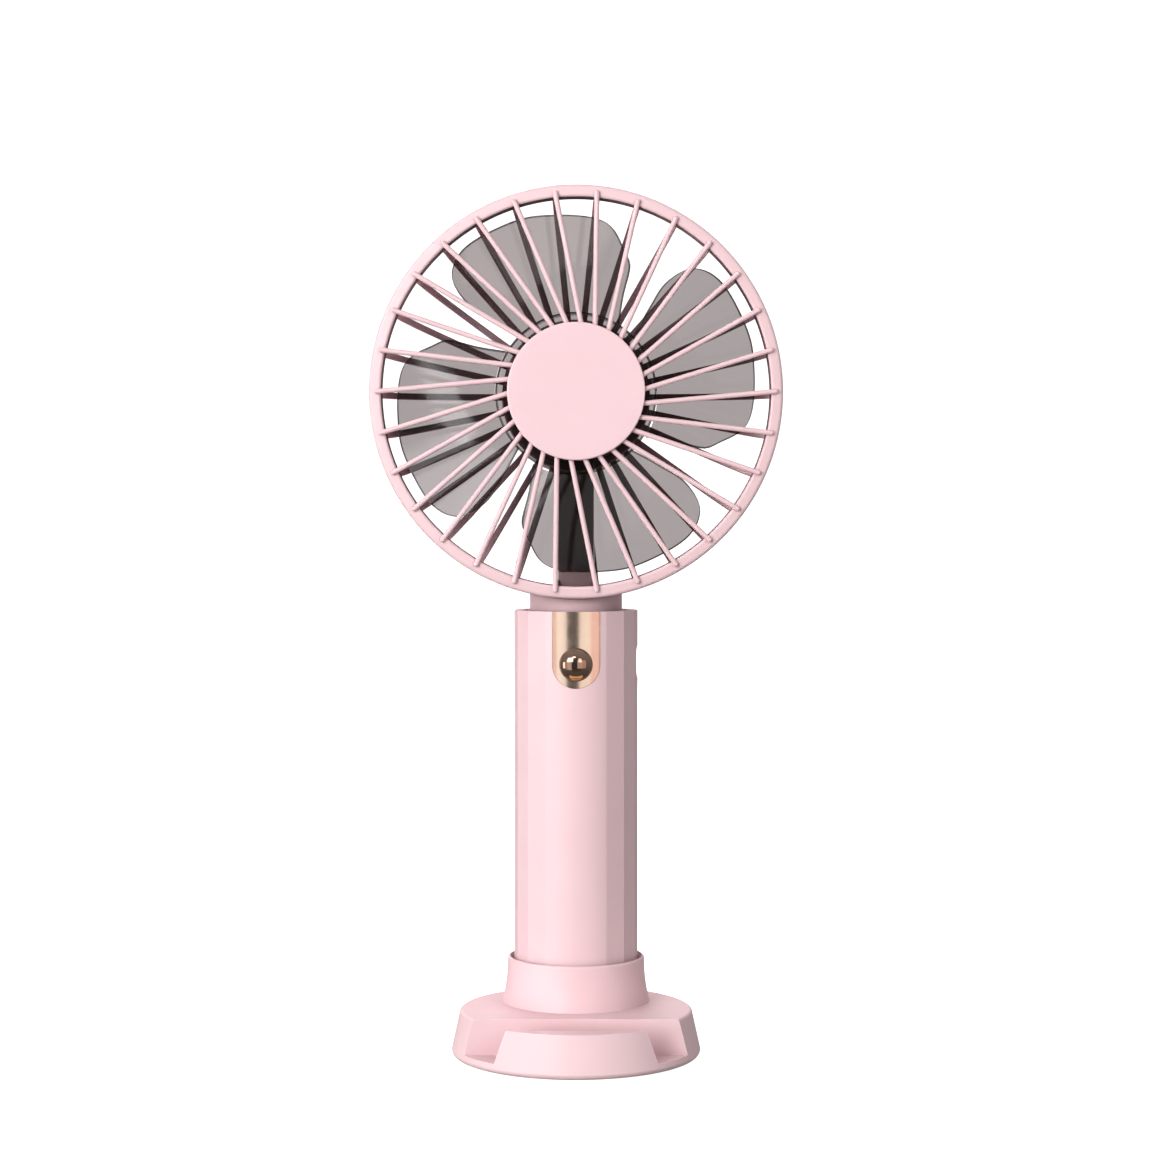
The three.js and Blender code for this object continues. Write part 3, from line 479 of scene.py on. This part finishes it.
PAD = rubbery("pad_rubber", "3f3b3c", "6a6465", 0.82)
BLACK = rubbery("black_plastic", "161617", "2c2c2e", 0.5)
STEEL = metal("screw_steel", "9a9a9e", "6e6e72", 0.34)
MOTOR_STEEL = metal("motor_steel", "b4b5b8", "8c8d90", 0.3)
NICKEL = metal("nickel", "d6d1c4", "aaa598", 0.24)
COPPER = metal("copper", "c06a34", "8a431c", 0.32)
BUSH = metal("bronze", "b08446", "80592a", 0.42)
FERRITE = rubbery("ferrite", "333234", "57565a", 0.68)
WRAP = moulded("cell_wrap", "2f8a62", "4fa57e", "6ab592", 0.36, 0.006)
BOARD = moulded("board_green", "1b5a33", "2f7a4a", "8f9a6a", 0.4, 0.02)
RED_WIRE = moulded("red_wire", "b01f1b", "c9423c", "d25a54", 0.42)
BLACK_WIRE = moulded("black_wire", "141414", "2a2a2a", "3a3a3a", 0.42)

# ---------------------------------------------------------------- stand

SLOT_BACK = -12.2
SLOT_FRONT = -20.2
SLOT_FLOOR = 2.3
PLATE_TOP = 9.8
LIP_TOP = 9.1


def stand_plate(name):
    low = stand_low.z
    outer = stand_high.x
    upper = outer - 1.7
    profile = [(0, low)]
    profile += arc(outer - 1.2, low + 1.2, 1.2, -90, 0, 10)
    profile += arc(upper - 0.7, PLATE_TOP - 0.7, 0.7, 0, 90, 8)
    profile += [(0, PLATE_TOP)]
    plate = lathe(name, profile, steps=288)
    plate.data.transform(Matrix.Translation((0, -AXIS_Y, 0)))
    return plate


def collar(name):
    top, low = stand_high.z, 1.2
    foot, radius, rim = 15.9, 14.8, 0.55
    steps = 24
    profile = [(0, low), (foot, low)]
    for i in range(steps + 1):
        rise = i / steps
        flare = (foot - radius) * (1 - rise) ** 2
        profile.append((radius + flare, PLATE_TOP + (top - rim - PLATE_TOP) * rise))
    profile += arc(radius - rim, top - rim, rim, 0, 90, 6)[1:]
    profile += [(0, top)]
    return lathe(name, profile)


def stand_base():
    space = block("slot", (-BEYOND, -BEYOND, SLOT_FLOOR), (BEYOND, SLOT_BACK, BEYOND))
    wide, narrow = 17.2, 14.9
    ends = [(-wide, SLOT_FLOOR - 1), (wide, SLOT_FLOOR - 1), (narrow, LIP_TOP), (-narrow, LIP_TOP)]
    carved(space, prism("lip_space", ends, -2 * BEYOND, SLOT_FRONT, "Y"))
    base = carved(stand_plate("stand"), space)
    carved(base, collar("collar"), operation="UNION")
    floor, socket_r = HANDLE_BOTTOM - 0.3, HANDLE_R + FIT
    mouth_r, mouth_depth = socket_r + 0.75, 2.5
    profile = [(0, floor), (socket_r, floor), (socket_r, stand_high.z - mouth_depth)]
    profile += [(mouth_r, stand_high.z), (mouth_r, BEYOND), (0, BEYOND)]
    carved(base, lathe("socket", profile))
    pad_r, pad_space = pad_high.x + FIT, pad_high.z + FIT
    seat = lathe("seat", [(0, -1), (pad_r, -1), (pad_r, pad_space), (0, pad_space)])
    seat.data.transform(Matrix.Translation((0, -AXIS_Y, 0)))
    carved(base, seat)
    return softened(base, 0.3, 3, 38)


def stand_pad():
    radius, top = pad_high.x, pad_high.z
    profile = [(0, 0), (radius - 0.3, 0), (radius, 0.3), (radius, top), (0, top)]
    pad = lathe("stand_pad", profile)
    pad.data.transform(Matrix.Translation((0, -AXIS_Y, 0)))
    return pad


# ---------------------------------------------------------------- handle

FRONT_ARC = 30
FACET = 20
BORE_R = HANDLE_R - 2
HIGH_SCREW_Z = 91.4
LOW_SCREW_Z = 8.7


def around(degrees, radius):
    """A corner of the handle's section, by its angle round from the front."""
    a = math.radians(degrees)
    return (radius * math.sin(a), AXIS_Y - radius * math.cos(a))


def section_angles():
    smooth = [-FRONT_ARC + 2 * i for i in range(FRONT_ARC)]
    return smooth + list(range(FRONT_ARC, 360 - FRONT_ARC, FACET))


def handle_half(name, front):
    gap = 0.05
    outline = [around(a, HANDLE_R) for a in section_angles()]
    tube = prism(name, outline, end_cap_low.z + 1.85, HANDLE_TOP)
    carved(tube, lathe("bore", [(0, 0), (BORE_R, 0), (BORE_R, FAR), (0, FAR)]))
    if front:
        kept = block("kept", (-BEYOND, -BEYOND, 0), (BEYOND, AXIS_Y - gap, FAR))
    else:
        kept = block("kept", (-BEYOND, AXIS_Y + gap, 0), (BEYOND, BEYOND, FAR))
    return carved(tube, kept, operation="INTERSECT")


def trim_outline(spare):
    half = TRIM_HALF + spare
    return [(half, HANDLE_TOP + spare), (-half, HANDLE_TOP + spare)] + arc(0, BUTTON_Z, half, 180, 360, 64)


def trim_band(name, spare, inner, outer):
    """The trim's outline pressed against the handle's front, between two radii."""
    low = HANDLE_TOP - 30
    high = HANDLE_TOP + 1 if spare else HANDLE_TOP
    band = lathe(name, [(inner, low), (outer, low), (outer, high), (inner, high), (inner, low)], steps=360)
    return carved(band, prism("outline", trim_outline(spare), -40, AXIS_Y - 3, "Y"), operation="INTERSECT")


def port_slot():
    end, half_length = 1.85, 3.4
    half = half_length - end
    outline = arc(0, BUTTON_Z + half, end, 0, 180, 24) + arc(0, BUTTON_Z - half, end, 180, 360, 24)
    slot = prism("port", outline, 0, 20, "Y")
    slot.data.transform(Matrix.Translation((0, AXIS_Y, 0)) @ Matrix.Rotation(math.radians(-90), 4, "Z"))
    return slot


def front_shell():
    shell = handle_half("front_shell", True)
    carved(shell, trim_band("seat", 0.06, trim_face() - 0.75, HANDLE_R + 2))
    carved(shell, port_slot())
    return softened(shell, 0.3, 3, 15)


def trim_face():
    return AXIS_Y - trim_low.y


def rear_shell():
    shell = handle_half("rear_shell", False)
    screw_r = 1.85
    for z in (HIGH_SCREW_Z, LOW_SCREW_Z):
        carved(shell, pin("screw_hole", screw_r, AXIS_Y + HANDLE_R - 1.4, AXIS_Y + HANDLE_R + 2, 0, z))
    carved(shell, port_slot())
    return softened(shell, 0.3, 3, 15)


def trim_plate():
    plate = trim_band("trim", 0, trim_face() - 0.6, trim_face())
    carved(plate, pin("hole", 3.55, -40, AXIS_Y - 3, 0, BUTTON_Z, 96))
    return softened(plate, 0.14, 3, 30)


def button():
    radius, rise, steps = 3.45, 1.8, 24
    stem_r, flange_r = 1.4, 4.3
    face = AXIS_Y - 13.5
    flange = AXIS_Y - 10.1
    back = flange + 0.9
    profile = [(0, button_high.y), (stem_r, button_high.y), (stem_r, back), (flange_r, back)]
    profile += [(flange_r, flange), (radius, flange)]
    for i in range(steps + 1):
        a = TURN / 4 * i / steps
        profile.append((radius * math.cos(a), face - rise * math.sin(a)))
    profile[-1] = (0, face - rise)
    dome = lathe("button", profile, "Y", 128)
    dome.data.transform(Matrix.Translation((0, 0, BUTTON_Z - HEAD_Z)))
    return dome


def end_cap():
    outline = [around(a, HANDLE_R) for a in section_angles()]
    flange = softened(prism("end_cap", outline, HANDLE_BOTTOM, HANDLE_BOTTOM + 1.7), 0.3, 3, 15)
    plug_r, top = BORE_R - FIT, end_cap_high.z
    plug = lathe("plug", [(0, 4), (plug_r, 4), (plug_r, top), (0, top)])
    return joined("end_cap", flange, plug)


def back_screw(name, z):
    """A pan-head screw with a cross recess, driven in from the back."""
    seat = AXIS_Y + 12.15
    profile = [(0, seat), (1.7, seat)] + arc(1.2, seat + 0.5, 0.5, 0, 90, 6) + [(0, seat + 1)]
    head = lathe("head", profile, "Y", 64)
    head.data.transform(Matrix.Translation((0, 0, z - HEAD_Z)))
    for wide, tall in ((1.1, 0.28), (0.28, 1.1)):
        carved(head, block("cross", (-wide, seat + 0.4, z - tall), (wide, seat + 2, z + tall)))
    return joined(name, head, pin("shank", 0.9, seat - 4.3, seat + 0.1, 0, z, 32))


def neck():
    top = HEAD_Z - RING_R + 3
    shoulder = HANDLE_TOP - 0.2
    wide, narrow, low = 11.2, 10, neck_low.z
    profile = [(0, low), (wide, low), (wide, shoulder), (narrow, shoulder), (narrow, top), (0, top)]
    body = lathe("neck", profile)
    clear = RING_R + FIT
    cutter = lathe("ring_space", [(0, -BEYOND), (clear, -BEYOND), (clear, BEYOND), (0, BEYOND)], "Y", 288)
    return softened(carved(body, cutter), 0.25, 3, 35)


# ---------------------------------------------------------------- head

RING_INNER = RING_R - 2.7
# Both halves of the ring are chamfered this much where they meet.
SEAM = 0.15


def front_grille():
    edge = 0.9
    tilt, drop = 7, 0.15
    profile = [(RING_INNER, RING_SPLIT), (RING_R - SEAM, RING_SPLIT), (RING_R, RING_SPLIT - SEAM)]
    profile += arc(RING_R - edge, RING_FRONT + edge + drop, edge, 0, tilt - 90, 8)
    profile += arc(RING_INNER + 0.6, RING_FRONT + 0.6, 0.6, tilt - 90, -180, 6)
    profile += [(RING_INNER, RING_SPLIT)]
    ring = lathe("front_grille", profile, "Y", 360)
    # Faces of the ring's inner wall take the second material, which paints shade on that wall.
    for face in ring.data.polygons:
        reach = Vector((face.center.x, face.center.z - HEAD_Z)).length
        face.material_index = int(reach < RING_INNER + 0.1)
    front, back = hub_high.y + 0.1, hub_high.y + 0.1 + 1.9
    hub_r, chamfer = 14.6, 0.3
    profile = [(0, front), (hub_r - chamfer, front), (hub_r, front + chamfer), (hub_r, back), (0, back)]
    hub = lathe("hub", profile, "Y")
    rod_r = 0.55
    rods = []
    for i in range(RIB_COUNT):
        angle = (i + 0.5) * RIB_PITCH
        tip = on_head(angle, RING_R - 1.7, RING_FRONT - 0.3)
        root = on_head(angle + RIB_SWEEP, 13.8, front + 0.8)
        rods.append(rod(f"rod_{i}", tip, root, rod_r))
    return joined("front_grille", ring, hub, *rods)


def hub_disc():
    front, back, radius = hub_low.y, hub_high.y, hub_high.x
    profile = [(0, back), (radius, back), (radius, front + 0.25)]
    profile += arc(radius - 0.25, front + 0.25, 0.25, 0, -90, 5)[1:]
    profile += [(radius - 1, front), (0, front)]
    return lathe("hub_disc", profile, "Y", 256)


def curve(start, control_a, control_b, end, steps):
    """Points along a Bezier curve."""
    points = [Vector(p) for p in (start, control_a, control_b, end)]
    made = []
    for i in range(steps + 1):
        t = i / steps
        weights = ((1 - t) ** 3, 3 * t * (1 - t) ** 2, 3 * t * t * (1 - t), t**3)
        made.append(tuple(sum((w * p for w, p in zip(weights, points)), Vector((0, 0)))))
    return made


def rear_rib():
    """One rib of the rear bowl, a curved plate drawn at the top of the head."""
    back = RING_BACK - 1
    inner = POD_R + 1
    outline = curve((43.8, back), (43.4, AXIS_Y + 7), (38.5, AXIS_Y + 10.4), (inner, POD_BACK), 18)
    outline += curve((inner, POD_BACK - 2), (37, AXIS_Y + 8.2), (41.6, AXIS_Y + 5), (42.4, back), 18)
    half = 0.7
    return softened(prism("rear_rib", outline, -half, half, "X"), 0.3, 2, 40)


COLUMN_HALF = 3.9


def rear_grille():
    inner = RING_R - 1.7
    front = RING_SPLIT + 0.02
    profile = [(inner, front), (RING_R - SEAM, front), (RING_R, front + SEAM), (RING_R, RING_BACK - 0.6)]
    profile += arc(RING_R - 0.6, RING_BACK - 0.6, 0.6, 0, 90, 5)[1:]
    profile += [(inner, RING_BACK), (inner, front)]
    ring = lathe("rear_grille", profile, "Y", 360)
    low, high = POD_R + FIT, rear_cap_high.x
    face = POD_BACK - 2.4
    profile = [(low, face), (high - 0.4, face), (high, POD_BACK - 2), (high, POD_BACK)]
    hoop = lathe("hoop", profile + [(low, POD_BACK), (low, face)], "Y")
    rib_pattern = rear_rib()
    ribs = []
    for i in range(RIB_COUNT):
        degrees = (i + 0.5) * RIB_PITCH
        rib = spun(copied(rib_pattern, f"rib_{i}"), degrees)
        if abs(degrees - 180) < RIB_PITCH:
            carved(rib, column_space())
        ribs.append(rib)
    bpy.data.objects.remove(rib_pattern)
    return joined("rear_grille", ring, carved(hoop, column_space()), *ribs)


def column_space():
    half = COLUMN_HALF + FIT
    return block("column_space", (-half, AXIS_Y + 2.45, HEAD_Z - RING_R - 1), (half, POD_BACK + 1, HEAD_Z))


def motor_housing():
    bore, hole, chamfer = POD_R - POD_WALL, 4, 0.6
    wall = POD_FRONT + 1.6
    profile = [(hole, POD_FRONT), (POD_R - chamfer, POD_FRONT), (POD_R, POD_FRONT + chamfer)]
    profile += [(POD_R, POD_BACK), (bore, POD_BACK), (bore, wall), (hole, wall), (hole, POD_FRONT)]
    pod = lathe("motor_housing", profile, "Y")
    front = AXIS_Y + 2.6
    foot = HEAD_Z + 0.2 - RING_R
    lit_height, tongue_half = 5.2, 2.9
    column = block("column", (-COLUMN_HALF, front, foot), (COLUMN_HALF, POD_BACK, HEAD_Z - bore - 0.2))
    # The column carries painted shadow, darkest behind the blades; the front of its foot gets the lighter
    # painted shade.
    column = lit_foot(softened(column, 0.5, 3), foot + lit_height)
    tongue = block("tongue", (-tongue_half, front, housing_low.z), (tongue_half, AXIS_Y + 8.4, foot + 1))
    return joined("motor_housing", pod, column, tongue)


def lit_foot(column, top):
    """Gives the front of a column the second material, up to a height: a lighter painted shade for the foot,
    where more light reaches than higher up.
    """
    bm = bmesh.new()
    bm.from_mesh(column.data)
    everything = [*bm.verts, *bm.edges, *bm.faces]
    bmesh.ops.bisect_plane(bm, geom=everything, plane_co=(0, 0, top), plane_no=(0, 0, 1))
    for face in bm.faces:
        face.material_index = int(face.normal.y < -0.5 and face.calc_center_median().z < top)
    bm.to_mesh(column.data)
    bm.free()
    return column


def rear_cap():
    back, radius = rear_cap_high.y, rear_cap_high.x
    side, rounding = back - 1.7, 1.4
    profile = [(0, rear_cap_low.y), (radius, rear_cap_low.y), (radius, side)]
    profile += arc(radius - rounding, side, rounding, 0, 90, 8)[1:]
    profile += [(radius - 4, back - 0.1), (0, back)]
    return lathe("rear_cap", profile, "Y")


# ---------------------------------------------------------------- impeller

# The blade's outline: angle from its own middle line, and radius.
BLADE_EDGE = [
    (-44, 17), (-49, 23.8), (-50.6, 30.4), (-46.5, 36.6), (-36.7, 39.2), (-19.4, 39.3), (-6.6, 38.7),
    (5.4, 38.2), (12.4, 36.7), (18.9, 32.6), (23, 30), (25.8, 23.4), (32.5, 17),
]
BLADE_COUNT = 4
BLADE_THICK = 0.9
BLADE_FRONT = -8.2
BLADE_BACK = -0.6
# The blade's grid: its cells across and outward, and the strip along its free edges.
ACROSS = 36
OUTWARD = 20
BLADE_BORDER = 0.3
BLADE_WIDTH = 36
BLADE_LENGTH = 22
# Where the outline's left and right corners lie, in steps along it.
OUTLINE_STEPS = 200
LEFT_CORNER = 44
RIGHT_CORNER = 142
CORNER_STEP = 4


def flat(degrees, radius):
    a = math.radians(degrees)
    return Vector((radius * math.sin(a), radius * math.cos(a)))


def through(points, steps):
    """Evenly spaced points on a smooth curve through some others."""
    padded = [points[0] * 2 - points[1], *points, points[-1] * 2 - points[-2]]
    between = 24
    dense = []
    for a, b, c, d in zip(padded, padded[1:], padded[2:], padded[3:]):
        linear = c - a
        square = 2 * a - 5 * b + 4 * c - d
        cube = 3 * b - a - 3 * c + d
        for i in range(between):
            t = i / between
            dense.append(0.5 * (2 * b + linear * t + square * t**2 + cube * t**3))
    dense.append(points[-1])
    lengths = [0]
    for a, b in zip(dense, dense[1:]):
        lengths.append(lengths[-1] + (b - a).length)
    made, k = [], 0
    for i in range(steps + 1):
        wanted = lengths[-1] * i / steps
        while k < len(lengths) - 2 and lengths[k + 1] < wanted:
            k += 1
        part = (wanted - lengths[k]) / (lengths[k + 1] - lengths[k])
        made.append(dense[k].lerp(dense[k + 1], part))
    return made


def at(points, part):
    """The place a part of the way along evenly spaced points."""
    along = part * (len(points) - 1)
    k = min(int(along), len(points) - 2)
    return points[k].lerp(points[k + 1], along - k)


def blade_sheet():
    """The blade's middle surface as a grid stretched between its four edges, then pitched."""
    edge = through([flat(*p) for p in BLADE_EDGE], OUTLINE_STEPS)
    left = through(edge[: LEFT_CORNER + 1 : CORNER_STEP], OUTWARD)
    tip = through(edge[LEFT_CORNER : RIGHT_CORNER + 1 : CORNER_STEP] + [edge[RIGHT_CORNER]], ACROSS)
    right = through(edge[RIGHT_CORNER::CORNER_STEP][::-1], OUTWARD)
    first, last = BLADE_EDGE[0][0], BLADE_EDGE[-1][0]
    root = [flat(first + (last - first) * i / ACROSS, BLADE_EDGE[0][1]) for i in range(ACROSS + 1)]
    # The free edges have a narrow strip of their own, for the edge's darker material.
    strip = BLADE_BORDER / BLADE_WIDTH
    across = [0, strip] + [i / ACROSS for i in range(1, ACROSS)] + [1 - strip, 1]
    outward = [j / OUTWARD for j in range(OUTWARD)] + [1 - BLADE_BORDER / BLADE_LENGTH, 1]
    bm = bmesh.new()
    rows = []
    for v in outward:
        row = []
        for u in across:
            sides = at(left, v).lerp(at(right, v), u) + at(root, u).lerp(at(tip, u), v)
            corners = root[0].lerp(root[-1], u).lerp(tip[0].lerp(tip[-1], u), v)
            p = sides - corners
            angle = math.degrees(math.atan2(p.x, p.y))
            pitch = (BLADE_BACK - BLADE_FRONT) * (angle - first) / (last - first)
            row.append(bm.verts.new((p.x, AXIS_Y + BLADE_FRONT + pitch - BLADE_THICK / 2, HEAD_Z + p.y)))
        rows.append(row)
    for a, b in zip(rows, rows[1:]):
        for i in range(len(across) - 1):
            face = bm.faces.new((a[i], a[i + 1], b[i + 1], b[i]))
            face.material_index = int(i in (0, len(across) - 2) or b is rows[-1])
    return new_object("blade", bm)


def blade():
    sheet = blade_sheet()
    thick = sheet.modifiers.new("thick", "SOLIDIFY")
    thick.thickness = BLADE_THICK
    thick.offset = 0
    thick.material_offset_rim = 1
    sheet.data.materials.append(SMOKY)
    sheet.data.materials.append(SMOKY_EDGE)
    return applied(sheet)


def impeller():
    front, back, radius, wall = impeller_low.y, AXIS_Y + 0.6, 17.3, 1.6
    boss, bore, boss_end = 3, 1.08, front + 4.5
    profile = [(0, front), (radius - 1, front)] + arc(radius - 1, front + 1, 1, -90, 0, 6)[1:]
    profile += [(radius, back), (radius - wall, back), (radius - wall, front + wall), (boss, front + wall)]
    profile += [(boss, boss_end), (bore, boss_end), (bore, front + 1), (0, front + 1)]
    hub = lathe("hub_cup", profile, "Y")
    for face in hub.data.polygons:
        face.material_index = int(abs(face.normal.y) < 0.8)
    return joined("impeller", hub, spread(blade(), BLADE_COUNT))


# ---------------------------------------------------------------- pieces on their bodies

shown(stand_base(), "stand", [PINK], "pink_plastic", "stand_base")
shown(stand_pad(), "stand", [PAD], "pad_rubber", "stand_pad")
shown(front_shell(), "fan_body", [PINK], "pink_plastic", "handle_front_shell", crease=12)
shown(rear_shell(), "fan_body", [PINK], "pink_plastic", "handle_rear_shell", crease=12)
shown(end_cap(), "fan_body", [PINK], "pink_plastic", "handle_end_cap", crease=12)
rolled(shown(trim_plate(), "fan_body", [GOLD], "gold_plate", "trim_plate"), trim_face())
shown(neck(), "fan_body", [PINK_SHADED], "pink_plastic", "neck")
shown(front_grille(), "fan_body", [PINK, PINK_WALL], "pink_plastic", "front_grille")
shown(hub_disc(), "fan_body", [PINK_SATIN], "pink_satin", "hub_cap")
shown(rear_grille(), "fan_body", [PINK_INSIDE], "pink_plastic", "rear_grille")
shown(motor_housing(), "fan_body", [PINK_COLUMN, PINK_FOOT], "pink_plastic", "motor_housing")
shown(rear_cap(), "fan_body", [PINK], "pink_plastic", "rear_cap")
shown(back_screw("top_screw", HIGH_SCREW_Z), "fan_body", [STEEL], "screw_steel", "handle_top_screw")
shown(back_screw("bottom_screw", LOW_SCREW_Z), "fan_body", [STEEL], "screw_steel", "handle_bottom_screw")
shown(impeller(), "rotor", [SMOKY, SMOKY_EDGE], "smoky_plastic", "impeller")
shown(button(), "button", [BRONZE], "bronze_mirror", "button_dome")

KEPT = {
    "battery_cell": WRAP,
    "cell_top_tab": NICKEL,
    "cell_bottom_tab": NICKEL,
    "cell_lead_red": RED_WIRE,
    "cell_lead_black": BLACK_WIRE,
    "circuit_board": BOARD,
    "tact_switch": BLACK,
    "usb_socket": NICKEL,
    "controller_chip": BLACK,
    "power_inductor": FERRITE,
    "motor_can": MOTOR_STEEL,
    "motor_end_cap": BLACK,
    "magnet_upper": FERRITE,
    "magnet_lower": FERRITE,
    "front_bush": BUSH,
    "rear_bush": BUSH,
    "brush_left": COPPER,
    "brush_right": COPPER,
    "motor_screw_left": STEEL,
    "motor_screw_right": STEEL,
    "motor_lead_black": BLACK_WIRE,
    "motor_lead_red": RED_WIRE,
    "motor_shaft": STEEL,
    "armature_core": MOTOR_STEEL,
    "winding_1": COPPER,
    "winding_2": COPPER,
    "winding_3": COPPER,
    "commutator": COPPER,
    "switch_plunger": BLACK,
}
for node, material in KEPT.items():
    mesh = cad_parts[node].data
    mesh.materials.clear()
    mesh.materials.append(material)

# ---------------------------------------------------------------- stage


def sweep():
    """Floor and backdrop in one pale bowl, so the fan stands before white from every side."""
    made = Maker("stage_paper", Roughness=0.9)
    made.shader.inputs["Base Color"].default_value = (0.9, 0.9, 0.9, 1)
    made.shader.inputs["Emission Color"].default_value = (1, 1, 1, 1)
    made.shader.inputs["Emission Strength"].default_value = 1.0
    floor, bend, height = 2400, 600, 5000
    bowl = lathe("stage_sweep", [(0, 0)] + arc(floor, bend, bend, -90, 0, 24) + [(floor + bend, height)])
    bowl.data.transform(Matrix.Scale(MM, 4))
    bowl.data.shade_smooth()
    bowl.data.materials.append(made.material)
    bowl.visible_diffuse = False
    bowl.visible_glossy = False
    bowl.visible_shadow = False


# Places and sizes of lamps and camera are in metres.
AIM = (0, 0, 0.1)
ROOM_BELOW = 0.1
ROOM_ABOVE = 0.45
DARK_BEHIND_CAMERA = 0.35


def lamp(name, place, size, power, colour=(1, 1, 1), lights=True, mirrored=False):
    """A soft panel aimed at the fan. It lights surfaces, or only shows in glossy ones, or both."""
    data = bpy.data.lights.new(name, "AREA")
    data.shape = "RECTANGLE"
    data.size, data.size_y = size
    data.energy = power
    data.color = colour
    ob = bpy.data.objects.new(name, data)
    ob.location = place
    ob.rotation_euler = (Vector(AIM) - Vector(place)).to_track_quat("-Z", "Y").to_euler()
    ob.visible_diffuse = lights
    ob.visible_glossy = mirrored
    bpy.context.scene.collection.objects.link(ob)


def camera():
    data = bpy.data.cameras.new("camera")
    data.sensor_width = 36
    data.lens = 74.06
    data.shift_x = 0.0077
    data.shift_y = -0.0432
    ob = bpy.data.objects.new("camera", data)
    ob.location = (0, -0.5137, 0.1126)
    ob.rotation_euler = (math.pi / 2, 0, 0)
    bpy.context.scene.collection.objects.link(ob)
    bpy.context.scene.camera = ob


def studio():
    """A soft room, brighter above than below and dark where the camera stands."""
    world = bpy.data.worlds.new("studio")
    world.use_nodes = True
    nodes, links = world.node_tree.nodes, world.node_tree.links
    split = nodes.new("ShaderNodeSeparateXYZ")
    links.new(nodes.new("ShaderNodeTexCoord").outputs["Generated"], split.inputs["Vector"])

    def ramp(value, start, end, low, high):
        node = nodes.new("ShaderNodeMapRange")
        for socket, number in zip(("From Min", "From Max", "To Min", "To Max"), (start, end, low, high)):
            node.inputs[socket].default_value = number
        links.new(value, node.inputs["Value"])
        return node.outputs["Result"]

    both = nodes.new("ShaderNodeMath")
    both.operation = "MULTIPLY"
    links.new(ramp(split.outputs["Z"], -1, 1, ROOM_BELOW, ROOM_ABOVE), both.inputs[0])
    links.new(ramp(split.outputs["Y"], -0.97, -0.8, DARK_BEHIND_CAMERA, 1), both.inputs[1])
    nodes["Background"].inputs["Color"].default_value = (1, 1, 1, 1)
    links.new(both.outputs["Value"], nodes["Background"].inputs["Strength"])
    bpy.context.scene.world = world


sweep()
studio()
lamp("key", (-0.53, -0.76, 0.29), (0.5, 0.7), 8.2)
lamp("fill", (0.62, -0.6, 0.3), (0.5, 0.7), 1.35)
lamp("side", (-0.95, -0.15, 0.2), (0.4, 0.6), 1.6)
lamp("back", (-0.15, 1, 0.5), (0.6, 0.6), 10)
lamp("card_left", (-0.535, -1.07, 0.1), (0.4, 1), 1.05, lights=False, mirrored=True)
lamp("card_right", (0.335, -1.155, 0.1), (0.46, 0.7), 0.88, (1, 0.98, 0.94), lights=False, mirrored=True)
lamp("rose_left", (-0.8, -0.89, 0.1), (0.25, 1), 0.43, (1, 0.7, 0.62), lights=False, mirrored=True)
lamp("rose_right", (0.7, -0.97, 0.1), (0.38, 0.7), 0.6, (1, 0.65, 0.61), lights=False, mirrored=True)
lamp("window_left", (-0.45, -0.95, 0.44), (0.5, 0.36), 2.4, lights=False, mirrored=True)
lamp("window_right", (0.3, -1, 0.38), (0.25, 0.3), 0.6, (1, 0.86, 0.84), lights=False, mirrored=True)
lamp("window_side", (-0.87, -0.5, 0.02), (0.3, 0.45), 1.2, lights=False, mirrored=True)
lamp("amber_low", (0, -0.25, -0.65), (0.8, 0.4), 1.3, (1, 0.66, 0.22), lights=False, mirrored=True)
lamp("window_top", (-0.1, -0.65, 0.46), (0.16, 0.07), 0.25, lights=False, mirrored=True)
bpy.context.scene.view_settings.view_transform = "Standard"
camera()
